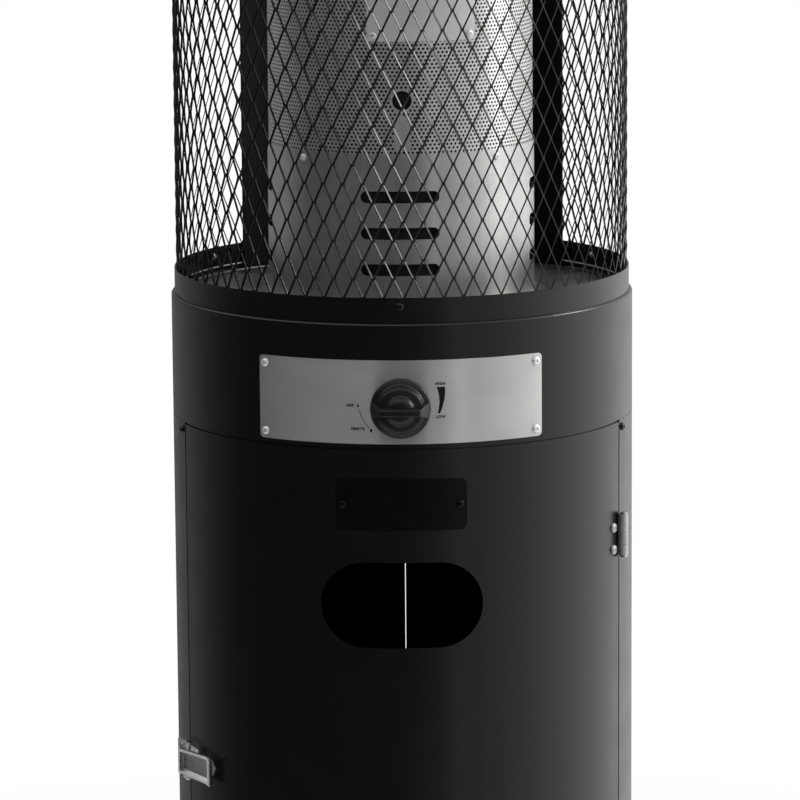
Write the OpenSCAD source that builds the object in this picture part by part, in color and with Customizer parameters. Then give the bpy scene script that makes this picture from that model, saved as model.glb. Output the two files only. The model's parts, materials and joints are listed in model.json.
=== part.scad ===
// Gas area heater: a round cabinet for the gas bottle, a control housing, and a burner inside a mesh guard.
// Millimetres. +Z is up, the front faces -Y, and the origin is on the floor under the middle of the heater.
// Angles are measured from the front towards +X, so the right-hand seam of the door has a positive angle.

/* [Cabinet] */
// Outside diameter of the cabinet and the control housing
cabinet_d = 460; // [430:2:500]
// Height of the cabinet, from the base to the control housing
cabinet_h = 682; // [640:2:760]
// Thickness of the painted sheet steel
sheet_t = 1.5; // [1.2:0.1:2]
// Clearance between sheets that lie on each other
sheet_fit = 0.3; // [0.2:0.05:0.4]
// Angle from the middle of the front to the seam on each side of the door
seam_angle = 68.4; // [62:0.2:74]
// Width of the seam between the door and a side panel
seam_gap = 2.4; // [2:0.1:3.2]
// Width of the slit between the side panels at the back
rear_gap = 1.8; // [1:0.1:4]
// Depth of the returns folded inwards along the upright edges
return_d = 10; // [6:0.5:14]
// Height of the collars that the panels overlap at the top and the bottom
collar_h = 20; // [16:1:26]
// Length of a vent slot low in the side panels
vent_w = 64; // [40:2:80]
// Height of a vent slot
vent_h = 9; // [6:0.5:12]
// Number of vent slots in each side panel
vent_count = 3; // [1:1:5]

/* [Base] */
// Height of the base, from the floor to the plate that the bottle stands on
base_h = 62; // [56:1:80]
// How far the base stands out past the cabinet
base_lip = 2; // [1:0.5:6]
// Gap between the floor and the rolled rim of the base
base_clear = 12; // [8:1:16]
// Radius of the rolled rim
base_roll_r = 3; // [2:0.5:5]
// Diameter of a foot where it meets the floor
foot_d = 44; // [30:1:60]
// Wheel diameter
wheel_d = 54; // [44:1:56]
// Wheel width
wheel_w = 22; // [16:1:28]
// Gap between the wheels and the floor while the heater stands
wheel_clear = 1.5; // [1:0.5:3]
// Axle diameter
axle_d = 8; // [6:0.5:10]
// Distance from the middle of the heater to the middle of a wheel, sideways
wheel_x = 107; // [90:1:120]
// Distance from the rim of the base in to the axle
wheel_inset = 36; // [30:1:50]
// Distance from the rim of the base in to the middle of a front foot
foot_inset = 51; // [40:1:70]

/* [Door] */
// Width of the round-ended opening, straight across
opening_w = 156; // [110:2:180]
// Height of the opening
opening_h = 84; // [60:2:96]
// Distance from the top of the cabinet down to the middle of the opening
opening_drop = 154; // [140:1:220]
// Width of the bare name plate
badge_w = 126; // [90:2:150]
// Height of the name plate
badge_h = 50; // [36:1:60]
// Distance from the top of the cabinet down to the middle of the name plate
badge_drop = 55.5; // [45:0.5:70]
// Thickness of the name plate
badge_t = 1; // [0.8:0.1:1.5]
// Head diameter of a rivet
rivet_d = 8; // [6:0.5:9]

/* [Hinges] */
// Height of a hinge
hinge_h = 41.4; // [36:0.2:60]
// Distance from the end of the door to the middle of a hinge
hinge_inset = 113; // [80:1:140]
// Diameter of a hinge barrel
hinge_barrel_d = 9; // [8:0.2:11]
// Diameter of a hinge pin
hinge_pin_d = 5; // [4:0.1:5.5]
// Thickness of a hinge leaf
leaf_t = 1.2; // [1:0.1:1.5]
// Width of a hinge leaf, round the inside of the panel
leaf_w = 26; // [20:1:34]
// Radial running clearance of pins and shafts
pin_fit = 0.04; // [0.02:0.01:0.08]

/* [Latch] */
// Distance from the top of the cabinet down to the middle of the latch
latch_drop = 340; // [300:2:380]
// Distance from the seam to the latch pin, round the door
latch_inset = 8.5; // [7.5:0.5:14]
// Height of the latch pin above the door
latch_pin_lift = 11.5; // [10.5:0.5:14]
// Length of the latch lever, from its pin
lever_l = 51; // [44:1:60]
// Height of the lever at its pin
lever_h = 24.6; // [22:0.2:30]
// Height of the lever at its free end
lever_end_h = 27.6; // [24:0.2:34]
// Height of the free end above the door
lever_lift = 6; // [5:0.5:9]
// Depth of the rim round the lever
lever_rim = 3.6; // [2.5:0.1:5]
// Diameter of the latch pin
latch_pin_d = 4; // [3:0.2:4.6]
// Diameter of the loop's wire
loop_d = 2.5; // [2:0.1:3]
// Distance from the seam to the hooked end of the loop, round the side panel
loop_reach = 24; // [20:1:30]
// How far the loop is lifted out of its hook, in degrees
loop_lift = 10; // [9:1:16]
// Thickness of the latch's plates
latch_t = 1.5; // [1.2:0.1:2]

/* [Control housing] */
// Height of the control housing, from the cabinet to the seat of the guard
housing_h = 120; // [110:1:140]
// Radius of the bead round the top edge
bead_r = 5; // [4:0.5:7]
// How far the bead stands out past the housing
bead_out = 2; // [1:0.25:3]
// Width of the control panel, straight across
panel_w = 271; // [230:1:290]
// Height of the control panel
panel_h = 81; // [76:1:88]
// Thickness of the control panel
panel_t = 1; // [0.8:0.1:1.5]
// Distance from the bottom of the housing up to the middle of the control panel
panel_rise = 44.5; // [42:0.5:60]
// Head diameter of the small screws
screw_d = 8; // [6:0.5:9]

/* [Knob and valve] */
// Diameter of the knob
knob_d = 58; // [50:1:64]
// Length of the knob along its axis
knob_l = 30; // [24:1:36]
// How far the middle of the knob is below the middle of the control panel
knob_drop = 4.5; // [0:0.5:8]
// How far the knob pushes in
push_travel = 4; // [3:0.5:5]
// Gap left between the knob and the panel when it is pushed in
push_clear = 1.5; // [1:0.5:3]
// Diameter of the valve spindle
spindle_d = 8; // [6:0.5:9]
// Diameter of the gas pipe
pipe_d = 8; // [6:0.5:10]
// Diameter of the tail that the gas hose is pushed over
hose_tail_d = 8; // [7:0.5:10]
// Diameter of the thin pilot tube and leads
lead_d = 4; // [3:0.5:5]

/* [Burner] */
// Outside diameter of the air sleeve round the burner
sleeve_d = 265; // [240:1:280]
// Height of the air sleeve
sleeve_h = 153; // [140:1:180]
// Thickness of the stainless sheet
steel_t = 1; // [0.8:0.1:1.2]
// Half of the angle that one air slot spans
slot_half_angle = 16.75; // [10:0.25:22]
// Height of an air slot
slot_h = 11.6; // [8:0.2:16]
// Distance between the air slots
slot_pitch = 35.6; // [28:0.2:40]
// Height of the lowest air slot above the deck
slot_rise = 40; // [30:1:46]
// Height of the perforated screen above the sleeve
screen_h = 248; // [200:2:280]
// How far the screen reaches down into the sleeve
screen_lap = 24; // [16:1:40]
// Height of the sight hole above the sleeve
sight_rise = 50; // [40:1:70]
// Diameter of the sight hole
sight_d = 19; // [14:1:24]
// Width of the bare plate on the screen, straight across
plate_w = 106; // [80:1:130]
// Height of the bare plate
plate_h = 100; // [70:1:120]
// Height of the bare plate above the sleeve
plate_rise = 109; // [95:1:120]
// Angle of the middle of the bare plate
plate_angle = 10; // [0:1:20]
// Diameter of the burner pot
burner_d = 120; // [90:2:150]

/* [Guard] */
// Outside diameter of the guard's rings
guard_d = 453.4; // [430:0.2:454]
// Height of the lower ring
ring_h = 24.5; // [20:0.5:36]
// Height of the mesh between the rings
mesh_h = 402; // [360:2:460]
// Thickness of the mesh
mesh_t = 1.5; // [1.2:0.1:2]
// Width of a mesh strand
strand_w = 2.4; // [2:0.1:3.2]
// Mesh cells in each of the six panels
panel_cells = 9; // [6:1:12]
// Rows of mesh cells
mesh_rows = 9; // [6:1:12]
// How far the mesh reaches behind each ring
mesh_lap = 8; // [5:1:14]
// Height of the upper ring
top_ring_h = 22; // [18:0.5:36]
// Width of the uprights at the back
post_w = 45; // [30:1:60]
// Angle of the uprights from the front
post_angle = 138; // [126:1:144]
// Rise of the domed top
cap_rise = 54; // [40:1:70]
// Depth of the skirt round the domed top
cap_skirt = 13; // [10:0.5:18]

/* [Hidden] */
$fn = 96;

PAINT = [0.06, 0.06, 0.065];
STEEL = [0.72, 0.72, 0.71];
ZINC = [0.62, 0.62, 0.6];
BRASS = [0.72, 0.56, 0.28];
PLASTIC = [0.04, 0.04, 0.045];
RUBBER = [0.03, 0.03, 0.03];

// Radii
cabinet_r = cabinet_d / 2;
collar_r = cabinet_r - sheet_t - sheet_fit;
base_r = cabinet_r + base_lip;
guard_r = guard_d / 2;
mesh_r = guard_r - sheet_t - sheet_fit;
post_r = mesh_r - mesh_t - 2 * sheet_fit;
sleeve_r = sleeve_d / 2;
screen_r = sleeve_r - steel_t - sheet_fit;
burner_r = burner_d / 2;
skin_fit = 0.05;

// Heights
panel_z0 = base_h + sheet_fit;
cabinet_z1 = base_h + cabinet_h;
panel_z1 = cabinet_z1 - sheet_fit;
door_clear = 2;
door_z0 = base_h + door_clear;
door_z1 = cabinet_z1 - door_clear;
seat_z = cabinet_z1 + housing_h;
bead_flat = 0.5;
bead_z = seat_z - bead_r + bead_flat;
bead_c_r = max(cabinet_r + bead_out - bead_r, guard_r - sheet_t / 2);
floor_z = cabinet_z1 + sheet_t;
deck_drop = 3;
deck_z = seat_z - deck_drop;
deck_r = bead_c_r - bead_r - sheet_fit;
ledge_w = 18;
ledge_r0 = min(deck_r, cabinet_r - sheet_t) - ledge_w;
ledge_r1 = max(cabinet_r - sheet_t / 2, bead_c_r);
ring_z1 = seat_z + ring_h;
mesh_z0 = ring_z1 - mesh_lap;
top_ring_z0 = ring_z1 + mesh_h;
top_ring_z1 = top_ring_z0 + top_ring_h;
mesh_z1 = top_ring_z0 + mesh_lap;
sleeve_z1 = deck_z + sleeve_h;
screen_z1 = sleeve_z1 + screen_h;
knob_z = cabinet_z1 + panel_rise - knob_drop;
control_z = cabinet_z1 + panel_rise;
opening_z = cabinet_z1 - opening_drop;
badge_z = cabinet_z1 - badge_drop;
latch_z = cabinet_z1 - latch_drop;
hinge_zs = [door_z0 + hinge_inset, door_z1 - hinge_inset];

// Angles along the cabinet's skin
function arc_angle(length, radius) = length / radius * 180 / PI;
function spot(angle, radius) = [radius * sin(angle), -radius * cos(angle)];
half_seam = arc_angle(seam_gap, cabinet_r) / 2;
door_edge = seam_angle - half_seam;
side_edge = seam_angle + half_seam;
rear_edge = 180 - arc_angle(rear_gap, cabinet_r) / 2;
fold_angle = arc_angle(sheet_t, cabinet_r);

// Axle and feet
wheel_y = base_r - wheel_inset;
front_foot_angle = 39.4;
rear_foot_x = 70;
rear_foot_gap = 76;
axle_z = wheel_d / 2 + wheel_clear;
bracket_t = 3;
bracket_gap = 2;
bracket_x = wheel_x - wheel_w / 2 - bracket_gap - bracket_t / 2;
cap_gap = 0.6;
cap_l = 6;
axle_half = wheel_x + wheel_w / 2 + cap_gap + cap_l - 2;

// Hinges
hinge_lift = 0.6;
hinge_r = cabinet_r + hinge_lift + hinge_barrel_d / 2;
knuckle_low = 0.27;
knuckle_high = 0.57;
knuckle_gap = 0.3;

// Latch: the pin, the loop's pivot on the lever and the hooked end of the loop, seen from above
latch_angle = -seam_angle + arc_angle(latch_inset, cabinet_r);
latch_pin_r = cabinet_r + latch_pin_lift;
lever_end_r = cabinet_r + lever_lift;
lever_corner = acos((latch_pin_r ^ 2 + lever_l ^ 2 - lever_end_r ^ 2) / (2 * latch_pin_r * lever_l));
lever_turn = latch_angle + 90 - lever_corner;
lever_t = 1.2;
barrel_d = latch_pin_d + 3.4;
lug_w = barrel_d + 1;
lug_z = lever_h / 2 + 0.9;
pivot_x = 10;
pivot_y = 2.5;
cheek_t = 1.5;
cheek_z = lever_h / 2 - 2.8;
loop_z = lug_z + latch_t + loop_d / 2 + 1.1;
latch_p = spot(latch_angle, latch_pin_r);
pivot_p = latch_p + [pivot_x * cos(lever_turn) - pivot_y * sin(lever_turn),
                     pivot_x * sin(lever_turn) + pivot_y * cos(lever_turn)];
hook_clear = 1.2;
loop_end_r = cabinet_r + latch_t + hook_clear + loop_d / 2;
loop_end_angle = -seam_angle - arc_angle(loop_reach, cabinet_r);
loop_end_p = spot(loop_end_angle, loop_end_r);
loop_l = norm(loop_end_p - pivot_p);
loop_turn = atan2(loop_end_p[1] - pivot_p[1], loop_end_p[0] - pivot_p[0]);
hook_h = 7;
hook_angle = loop_end_angle + arc_angle(loop_d / 2 + hook_clear + latch_t / 2, cabinet_r);

// Knob and valve, along -Y
panel_front = cabinet_r + skin_fit + panel_t;
knob_back = panel_front + push_travel + push_clear;
knob_skirt = 6;
spindle_in = 20;
valve_front = cabinet_r - sheet_t - 8;
valve_size = [38, 46, 42];
valve_back = valve_front - valve_size[1];
plunger_l = 8;
spindle_back = valve_front - 10;
inlet_y = valve_back + 14;
port_d = 16;
port_l = 10;
port_z = knob_z + 6;

// Mesh: one cell is a diamond that is cell_a wide from its middle and cell_b tall
mesh_panels = 6;
mesh_cells = mesh_panels * panel_cells;
cell_pitch = 360 / mesh_cells;
cell_a = PI * mesh_r / mesh_cells;
cell_b = (mesh_z1 - mesh_z0) / mesh_rows / 2;
cell_in = cell_a * cell_b / norm([cell_a, cell_b]);
cell_open = 1 - strand_w / 2 / cell_in;

// Part of a tube between two angles, standing on its own base height
module shell(r, t, z0, z1, from, to) {
    translate([0, 0, z0])
        rotate([0, 0, from - 90])
            rotate_extrude(angle = to - from)
                translate([r - t, 0])
                    square([t, z1 - z0]);
}

// A ring or a tube all the way round
module hoop(r, t, z0, z1) {
    translate([0, 0, z0])
        difference() {
            cylinder(r = r, h = z1 - z0);
            translate([0, 0, -1])
                cylinder(r = r - t, h = z1 - z0 + 2);
        }
}

// Places a shape on a round skin: its X runs to the right, its Y up and its Z outwards
module on_skin(angle, r, z) {
    rotate([0, 0, angle])
        translate([0, -r, z])
            rotate([90, 0, 0])
                children();
}

// A plate with the outline of its child, rolled to the radius r
module rolled_plate(r, t, angle, z) {
    room = r;
    intersection() {
        hoop(r + t, t, z - room, z + room);
        on_skin(angle, r * 0.5, z)
            linear_extrude(r)
                children();
    }
}

module rounded_rect(w, h, r) {
    square([w - 2 * r, h], center = true);
    square([w, h - 2 * r], center = true);
    for (x = [-1, 1], y = [-1, 1])
        translate([x * (w / 2 - r), y * (h / 2 - r)])
            circle(r);
}

module stadium(w, h) {
    square([w - h, h], center = true);
    for (x = [-1, 1])
        translate([x * (w - h) / 2, 0])
            circle(h / 2);
}

// A domed head that stands on its flat face
module dome_head(d, h) {
    ball_r = (d * d / 4 + h * h) / (2 * h);
    intersection() {
        cylinder(d = d, h = h);
        translate([0, 0, h - ball_r])
            sphere(ball_r);
    }
}

// A round bar along a list of points, with a ball at each bend
module bar_run(points, d) {
    for (i = [0 : len(points) - 2]) {
        step = points[i + 1] - points[i];
        translate(points[i])
            rotate([0, acos(step[2] / norm(step)), atan2(step[1], step[0])])
                cylinder(d = d, h = norm(step));
    }
    for (i = [1 : 1 : len(points) - 2])
        translate(points[i])
            sphere(d = d);
}

// Base

foot_ring_r = base_r - foot_inset;
foot_spots = [for (side = [1, -1]) each [spot(side * front_foot_angle, foot_ring_r),
                                         [side * rear_foot_x, wheel_y - rear_foot_gap]]];

module base_profile() {
    translate([0, base_h - sheet_t])
        square([base_r, sheet_t]);
    translate([base_r - sheet_t, base_clear + base_roll_r])
        square([sheet_t, base_h - base_clear - base_roll_r]);
    translate([base_r - base_roll_r, base_clear + base_roll_r])
        circle(base_roll_r);
    translate([collar_r - sheet_t, base_h - sheet_t])
        square([sheet_t, collar_h + sheet_t]);
}

module base_pan() {
    arch_gap = 4;
    arch_in = wheel_x - wheel_w / 2 - arch_gap;
    arch_w = wheel_w + cap_gap + cap_l + 3 * arch_gap;
    drain_d = 14;
    drain_ring_r = 165;
    color(PAINT)
        difference() {
            rotate_extrude()
                base_profile();
            for (side = [-1, 1])
                translate([side * (arch_in + arch_w / 2) - arch_w / 2, wheel_y - wheel_d, -1])
                    cube([arch_w, 2 * wheel_d, axle_z + wheel_d / 2 + 3]);
            for (angle = [0 : 60 : 300])
                rotate([0, 0, angle])
                    translate([0, drain_ring_r, base_h - sheet_t - 1])
                        cylinder(d = drain_d, h = sheet_t + 2);
        }
}

module base_feet() {
    top = base_h - sheet_t;
    pad_h = 8;
    flange_h = 5;
    neck_r = foot_d / 2 - 6;
    color(RUBBER)
        for (p = foot_spots)
            translate(p)
                rotate_extrude()
                    polygon([[0, 0], [foot_d / 2 - 2, 0], [foot_d / 2, 2], [foot_d / 2, pad_h],
                             [neck_r, top - flange_h], [foot_d / 2, top - flange_h], [foot_d / 2, top], [0, top]]);
}

module wheel_brackets() {
    bracket_w = 30;
    flange_w = 22;
    top = base_h - sheet_t;
    color(PAINT)
        for (side = [-1, 1])
            difference() {
                union() {
                    translate([side * bracket_x - bracket_t / 2, wheel_y - bracket_w / 2, axle_z])
                        cube([bracket_t, bracket_w, top - axle_z]);
                    translate([side * bracket_x, wheel_y, axle_z])
                        rotate([0, 90, 0])
                            cylinder(d = bracket_w, h = bracket_t, center = true);
                    translate([side * (bracket_x - flange_w / 2) - flange_w / 2, wheel_y - bracket_w / 2, top - bracket_t])
                        cube([flange_w, bracket_w, bracket_t]);
                }
                translate([side * bracket_x, wheel_y, axle_z])
                    rotate([0, 90, 0])
                        cylinder(d = axle_d + 2 * pin_fit, h = bracket_t + 2, center = true);
            }
}

module wheel_axle() {
    color(ZINC)
        translate([0, wheel_y, axle_z])
            rotate([0, 90, 0])
                cylinder(d = axle_d, h = 2 * axle_half, center = true);
}

module wheel(side) {
    tread_w = 8;
    hub_d = axle_d + 12;
    web_t = 6;
    edge = 3;
    spokes = 5;
    rim_r = wheel_d / 2 - tread_w;
    color(RUBBER)
        translate([side * wheel_x, wheel_y, axle_z])
            rotate([0, 90, 0])
                difference() {
                    rotate_extrude() {
                        polygon([[rim_r, -wheel_w / 2], [wheel_d / 2 - edge, -wheel_w / 2],
                                 [wheel_d / 2, -wheel_w / 2 + edge], [wheel_d / 2, wheel_w / 2 - edge],
                                 [wheel_d / 2 - edge, wheel_w / 2], [rim_r, wheel_w / 2]]);
                        translate([axle_d / 2 + pin_fit, -web_t / 2])
                            square([rim_r - axle_d / 2 - pin_fit + 1, web_t]);
                        translate([axle_d / 2 + pin_fit, -wheel_w / 2])
                            square([(hub_d - axle_d) / 2 - pin_fit, wheel_w]);
                    }
                    for (k = [0 : spokes - 1])
                        rotate([0, 0, k * 360 / spokes])
                            translate([(rim_r + hub_d / 2) / 2, 0, -web_t])
                                cylinder(d = (rim_r - hub_d / 2) * 0.7, h = 2 * web_t);
                }
}

module wheel_left() { wheel(-1); }

module wheel_right() { wheel(1); }

module axle_caps() {
    color(PLASTIC)
        for (side = [-1, 1])
            translate([side * (wheel_x + wheel_w / 2 + cap_gap), wheel_y, axle_z])
                rotate([0, side * 90, 0])
                    difference() {
                        union() {
                            cylinder(d = axle_d + 8, h = cap_l - 2);
                            translate([0, 0, cap_l - 2])
                                dome_head(axle_d + 8, 3);
                        }
                        translate([0, 0, -1])
                            cylinder(d = axle_d + 2 * pin_fit, h = cap_l - 1 + pin_fit);
                    }
}

// Cabinet

vent_rise = 50;
vent_pitch = 2.4;
vent_angle = 150;

// The side panel on the right, with folded returns along its two upright edges
module side_panel(front_return) {
    stop = collar_h + 4;
    difference() {
        shell(cabinet_r, sheet_t, panel_z0, panel_z1, side_edge, rear_edge);
        for (k = [0 : vent_count - 1])
            on_skin(vent_angle, cabinet_r - 2 * sheet_t, base_h + vent_rise + k * vent_pitch * vent_h)
                linear_extrude(4 * sheet_t)
                    stadium(vent_w, vent_h);
    }
    if (front_return)
        shell(cabinet_r - sheet_t / 2, return_d - sheet_t / 2, panel_z0 + stop, panel_z1 - stop,
              side_edge, side_edge + fold_angle);
    shell(cabinet_r - sheet_t / 2, return_d - sheet_t / 2, panel_z0 + stop, panel_z1 - stop,
          rear_edge - fold_angle, rear_edge);
}

module cabinet_side_right() {
    color(PAINT)
        side_panel(false);
}

module cabinet_side_left() {
    color(PAINT)
        mirror([1, 0, 0])
            side_panel(true);
}

// Screws along the top and the bottom of the side panels
screw_edge = 8.4;
screw_side_gap = 8;

module cabinet_screws() {
    first = side_edge + arc_angle(screw_side_gap, cabinet_r);
    last = rear_edge - arc_angle(screw_side_gap + return_d, cabinet_r);
    per_side = 4;
    color(PAINT)
        for (side = [-1, 1], k = [0 : per_side - 1], z = [cabinet_z1 - screw_edge, base_h + screw_edge])
            on_skin(side * (first + k * (last - first) / (per_side - 1)), cabinet_r + skin_fit, z)
                dome_head(screw_d, screw_d * 0.34);
}

// Door

module door_panel() {
    stop = collar_h + 4;
    color(PAINT) {
        difference() {
            shell(cabinet_r, sheet_t, door_z0, door_z1, -door_edge, door_edge);
            on_skin(0, cabinet_r * 0.8, opening_z)
                linear_extrude(cabinet_r)
                    stadium(opening_w, opening_h);
        }
        shell(cabinet_r - sheet_t / 2, return_d - sheet_t / 2, door_z0 + stop, door_z1 - stop,
              -door_edge, -door_edge + fold_angle);
    }
}

badge_corner = 6;

module name_plate() {
    color(PLASTIC)
        rolled_plate(cabinet_r + skin_fit, badge_t, 0, badge_z)
            rounded_rect(badge_w, badge_h, badge_corner);
}

module name_plate_rivets() {
    rivet_inset = 6.5;
    angle = asin((badge_w / 2 - rivet_inset) / (cabinet_r + badge_t));
    color(PLASTIC)
        for (side = [-1, 1])
            on_skin(side * angle, cabinet_r + badge_t + 2 * skin_fit, badge_z)
                dome_head(rivet_d, rivet_d * 0.3);
}

// Hinges

// Places a shape on the hinge axis: its Y runs inwards and its X to the right along the skin
module at_hinge(z) {
    rotate([0, 0, seam_angle])
        translate([0, -hinge_r, z])
            children();
}

module knuckle(z0, z1) {
    translate([0, 0, z0])
        cylinder(d = hinge_barrel_d, h = z1 - z0);
    translate([-leaf_t / 2, 0, z0])
        cube([leaf_t, hinge_r - collar_r + leaf_t / 2, z1 - z0]);
}

module knuckle_bore() {
    cylinder(d = hinge_pin_d + 2 * pin_fit, h = 2 * hinge_h, center = true);
}

split_low = hinge_h * (knuckle_low - 0.5);
split_high = hinge_h * (knuckle_high - 0.5);
leaf_angle = arc_angle(leaf_w, cabinet_r);
leaf_half_w = collar_r * sin(leaf_angle / 2);
leaf_start = leaf_t / 2 + seam_gap / 2;
bridge_start = -leaf_t / 4;

// The flat of a leaf lies inside its panel, square to the middle of its width. It begins at the distance "start"
// from the middle of the seam: clear of the other leaf, or inside its own tab where it joins a knuckle.
module leaf_plate(z0, z1, side, start) {
    rotate([0, 0, seam_angle + side * leaf_angle / 2])
        translate([side > 0 ? start - leaf_half_w : -leaf_half_w, -collar_r * cos(leaf_angle / 2), z0])
            cube([2 * leaf_half_w - start, leaf_t, z1 - z0]);
}

module hinge_frame_leaves() {
    low = split_low - knuckle_gap / 2;
    high = split_high + knuckle_gap / 2;
    color(ZINC)
        for (z = hinge_zs) {
            difference() {
                at_hinge(z)
                    union() {
                        knuckle(-hinge_h / 2, low);
                        knuckle(high, hinge_h / 2);
                    }
                at_hinge(z)
                    knuckle_bore();
            }
            leaf_plate(z - hinge_h / 2, z + hinge_h / 2, 1, leaf_start);
            leaf_plate(z - hinge_h / 2, z + low, 1, bridge_start);
            leaf_plate(z + high, z + hinge_h / 2, 1, bridge_start);
        }
}

module hinge_door_leaves() {
    low = split_low + knuckle_gap / 2;
    high = split_high - knuckle_gap / 2;
    color(ZINC)
        for (z = hinge_zs) {
            difference() {
                at_hinge(z)
                    knuckle(low, high);
                at_hinge(z)
                    knuckle_bore();
            }
            leaf_plate(z - hinge_h / 2, z + hinge_h / 2, -1, leaf_start);
            leaf_plate(z + low, z + high, -1, bridge_start);
        }
}

module hinge_pins() {
    head_h = 1.6;
    head_d = hinge_pin_d + 2;
    color(ZINC)
        for (z = hinge_zs)
            at_hinge(z) {
                cylinder(d = hinge_pin_d, h = hinge_h + 2 * knuckle_gap, center = true);
                for (side = [-1, 1])
                    translate([0, 0, side * (hinge_h / 2 + knuckle_gap + head_h / 2)])
                        cylinder(d = head_d, h = head_h, center = true);
            }
}

module hinge_screws() {
    pitch = 22;
    inset = 16;
    color(PAINT)
        for (z = hinge_zs, step = [-0.5, 0.5])
            on_skin(seam_angle - arc_angle(inset, cabinet_r), cabinet_r + skin_fit, z + step * pitch - 2)
                dome_head(screw_d, screw_d * 0.4);
}

// Latch

ear_h = 44;
ear_w = 21;
stem_h = 18;
stem_l = 44;

// The base plate has two ears beside the seam, a rounded stem under the lever and two lugs for the pin
module latch_base() {
    base_angle = -door_edge + arc_angle(1 + ear_w / 2, cabinet_r);
    ear_hole_d = 4.5;
    color(ZINC) {
        rolled_plate(cabinet_r + skin_fit, latch_t, base_angle, latch_z)
            difference() {
                union() {
                    rounded_rect(ear_w, ear_h, 5);
                    square_end = stem_l - stem_h / 2;
                    translate([0, -stem_h / 2])
                        square([square_end, stem_h]);
                    translate([square_end, 0])
                        circle(stem_h / 2);
                }
                for (side = [-1, 1])
                    translate([0, side * (ear_h / 2 - 4.6)])
                        circle(d = ear_hole_d);
            }
        for (side = [-1, 1])
            rotate([0, 0, latch_angle])
                translate([0, -latch_pin_r, latch_z + side * (lug_z + latch_t / 2)])
                    difference() {
                        union() {
                            cylinder(d = lug_w, h = latch_t, center = true);
                            translate([-lug_w / 2, 0, -latch_t / 2])
                                cube([lug_w, latch_pin_lift - latch_t / 2, latch_t]);
                        }
                        cylinder(d = latch_pin_d + 2 * pin_fit, h = 2 * latch_t, center = true);
                    }
    }
}

module latch_pin() {
    head_h = 0.7;
    color(ZINC)
        translate([latch_p[0], latch_p[1], latch_z]) {
            cylinder(d = latch_pin_d, h = 2 * (lug_z + latch_t) + 0.2, center = true);
            for (side = [-1, 1])
                translate([0, 0, side * (lug_z + latch_t + 0.1 + head_h / 2)])
                    cylinder(d = latch_pin_d + 2, h = head_h, center = true);
        }
}

// Outline of the lever's tray, drawn in by the distance "inset"
module lever_outline(inset) {
    polygon([[-1 + inset, -lever_h / 2 + inset], [lever_l - inset, -lever_end_h / 2 + inset],
             [lever_l - inset, lever_end_h / 2 - inset], [-1 + inset, lever_h / 2 - inset]]);
}

// The lever is a shallow tray with a barrel round the pin and two cheeks that hold the loop
module latch_lever() {
    color(ZINC)
        translate([latch_p[0], latch_p[1], latch_z])
            rotate([0, 0, lever_turn])
                difference() {
                    union() {
                        translate([0, lever_t / 2, 0])
                            rotate([90, 0, 0])
                                difference() {
                                    linear_extrude(lever_t + lever_rim)
                                        lever_outline(0);
                                    translate([0, 0, lever_t])
                                        linear_extrude(lever_rim + 1)
                                            lever_outline(lever_t);
                                }
                        cylinder(d = barrel_d, h = lever_h, center = true);
                        for (side = [-1, 1])
                            translate([0, 0, side * cheek_z - cheek_t / 2]) {
                                translate([pivot_x, pivot_y, 0])
                                    cylinder(d = loop_d + 3, h = cheek_t);
                                translate([pivot_x - loop_d / 2 - 1.5, 0, 0])
                                    cube([loop_d + 3, pivot_y, cheek_t]);
                            }
                    }
                    cylinder(d = latch_pin_d + 2 * pin_fit, h = 2 * lever_h, center = true);
                    translate([pivot_x, pivot_y, 0])
                        cylinder(d = loop_d + 2 * pin_fit, h = 2 * lever_h, center = true);
                }
}

module latch_loop() {
    stub = cheek_z - cheek_t;
    color(ZINC)
        translate([pivot_p[0], pivot_p[1], latch_z])
            rotate([0, 0, loop_turn + loop_lift])
                bar_run([[0, 0, stub], [0, 0, loop_z], [loop_l, 0, loop_z],
                         [loop_l, 0, -loop_z], [0, 0, -loop_z], [0, 0, -stub]], loop_d);
}

module latch_keeper() {
    keeper_h = 2 * loop_z - loop_d - 2;
    keeper_w = loop_reach + 4;
    keeper_edge = arc_angle(1.5, cabinet_r);
    color(ZINC) {
        shell(cabinet_r + skin_fit + latch_t, latch_t, latch_z - keeper_h / 2, latch_z + keeper_h / 2,
              -side_edge - keeper_edge - arc_angle(keeper_w, cabinet_r), -side_edge - keeper_edge);
        rotate([0, 0, hook_angle])
            translate([-latch_t / 2, -cabinet_r - hook_h, latch_z - keeper_h / 2])
                cube([latch_t, hook_h - latch_t / 2, keeper_h]);
    }
}

// Control housing

window_w = 214;
window_h = 54;

module housing_profile() {
    translate([cabinet_r - sheet_t, cabinet_z1])
        square([sheet_t, bead_z - cabinet_z1]);
    translate([collar_r - ledge_w, cabinet_z1])
        square([cabinet_r - collar_r + ledge_w, sheet_t]);
    translate([collar_r - sheet_t, cabinet_z1 - collar_h])
        square([sheet_t, collar_h + sheet_t / 2]);
    translate([ledge_r0, deck_z - 2 * sheet_t])
        square([ledge_r1 - ledge_r0, sheet_t]);
    intersection() {
        translate([bead_c_r, bead_z])
            circle(bead_r);
        translate([0, seat_z - 4 * bead_r])
            square([bead_c_r + 2 * bead_r, 4 * bead_r]);
    }
}

module control_housing() {
    color(PAINT)
        difference() {
            rotate_extrude()
                housing_profile();
            on_skin(0, cabinet_r * 0.8, control_z)
                linear_extrude(cabinet_r)
                    rounded_rect(window_w, window_h, 6);
        }
}

inlet_hole_d = 20;

module housing_floor() {
    color(STEEL)
        difference() {
            translate([0, 0, floor_z])
                cylinder(r = collar_r - sheet_t, h = sheet_t);
            translate([0, -inlet_y, floor_z - 1])
                cylinder(d = inlet_hole_d, h = sheet_t + 2);
        }
}

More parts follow.
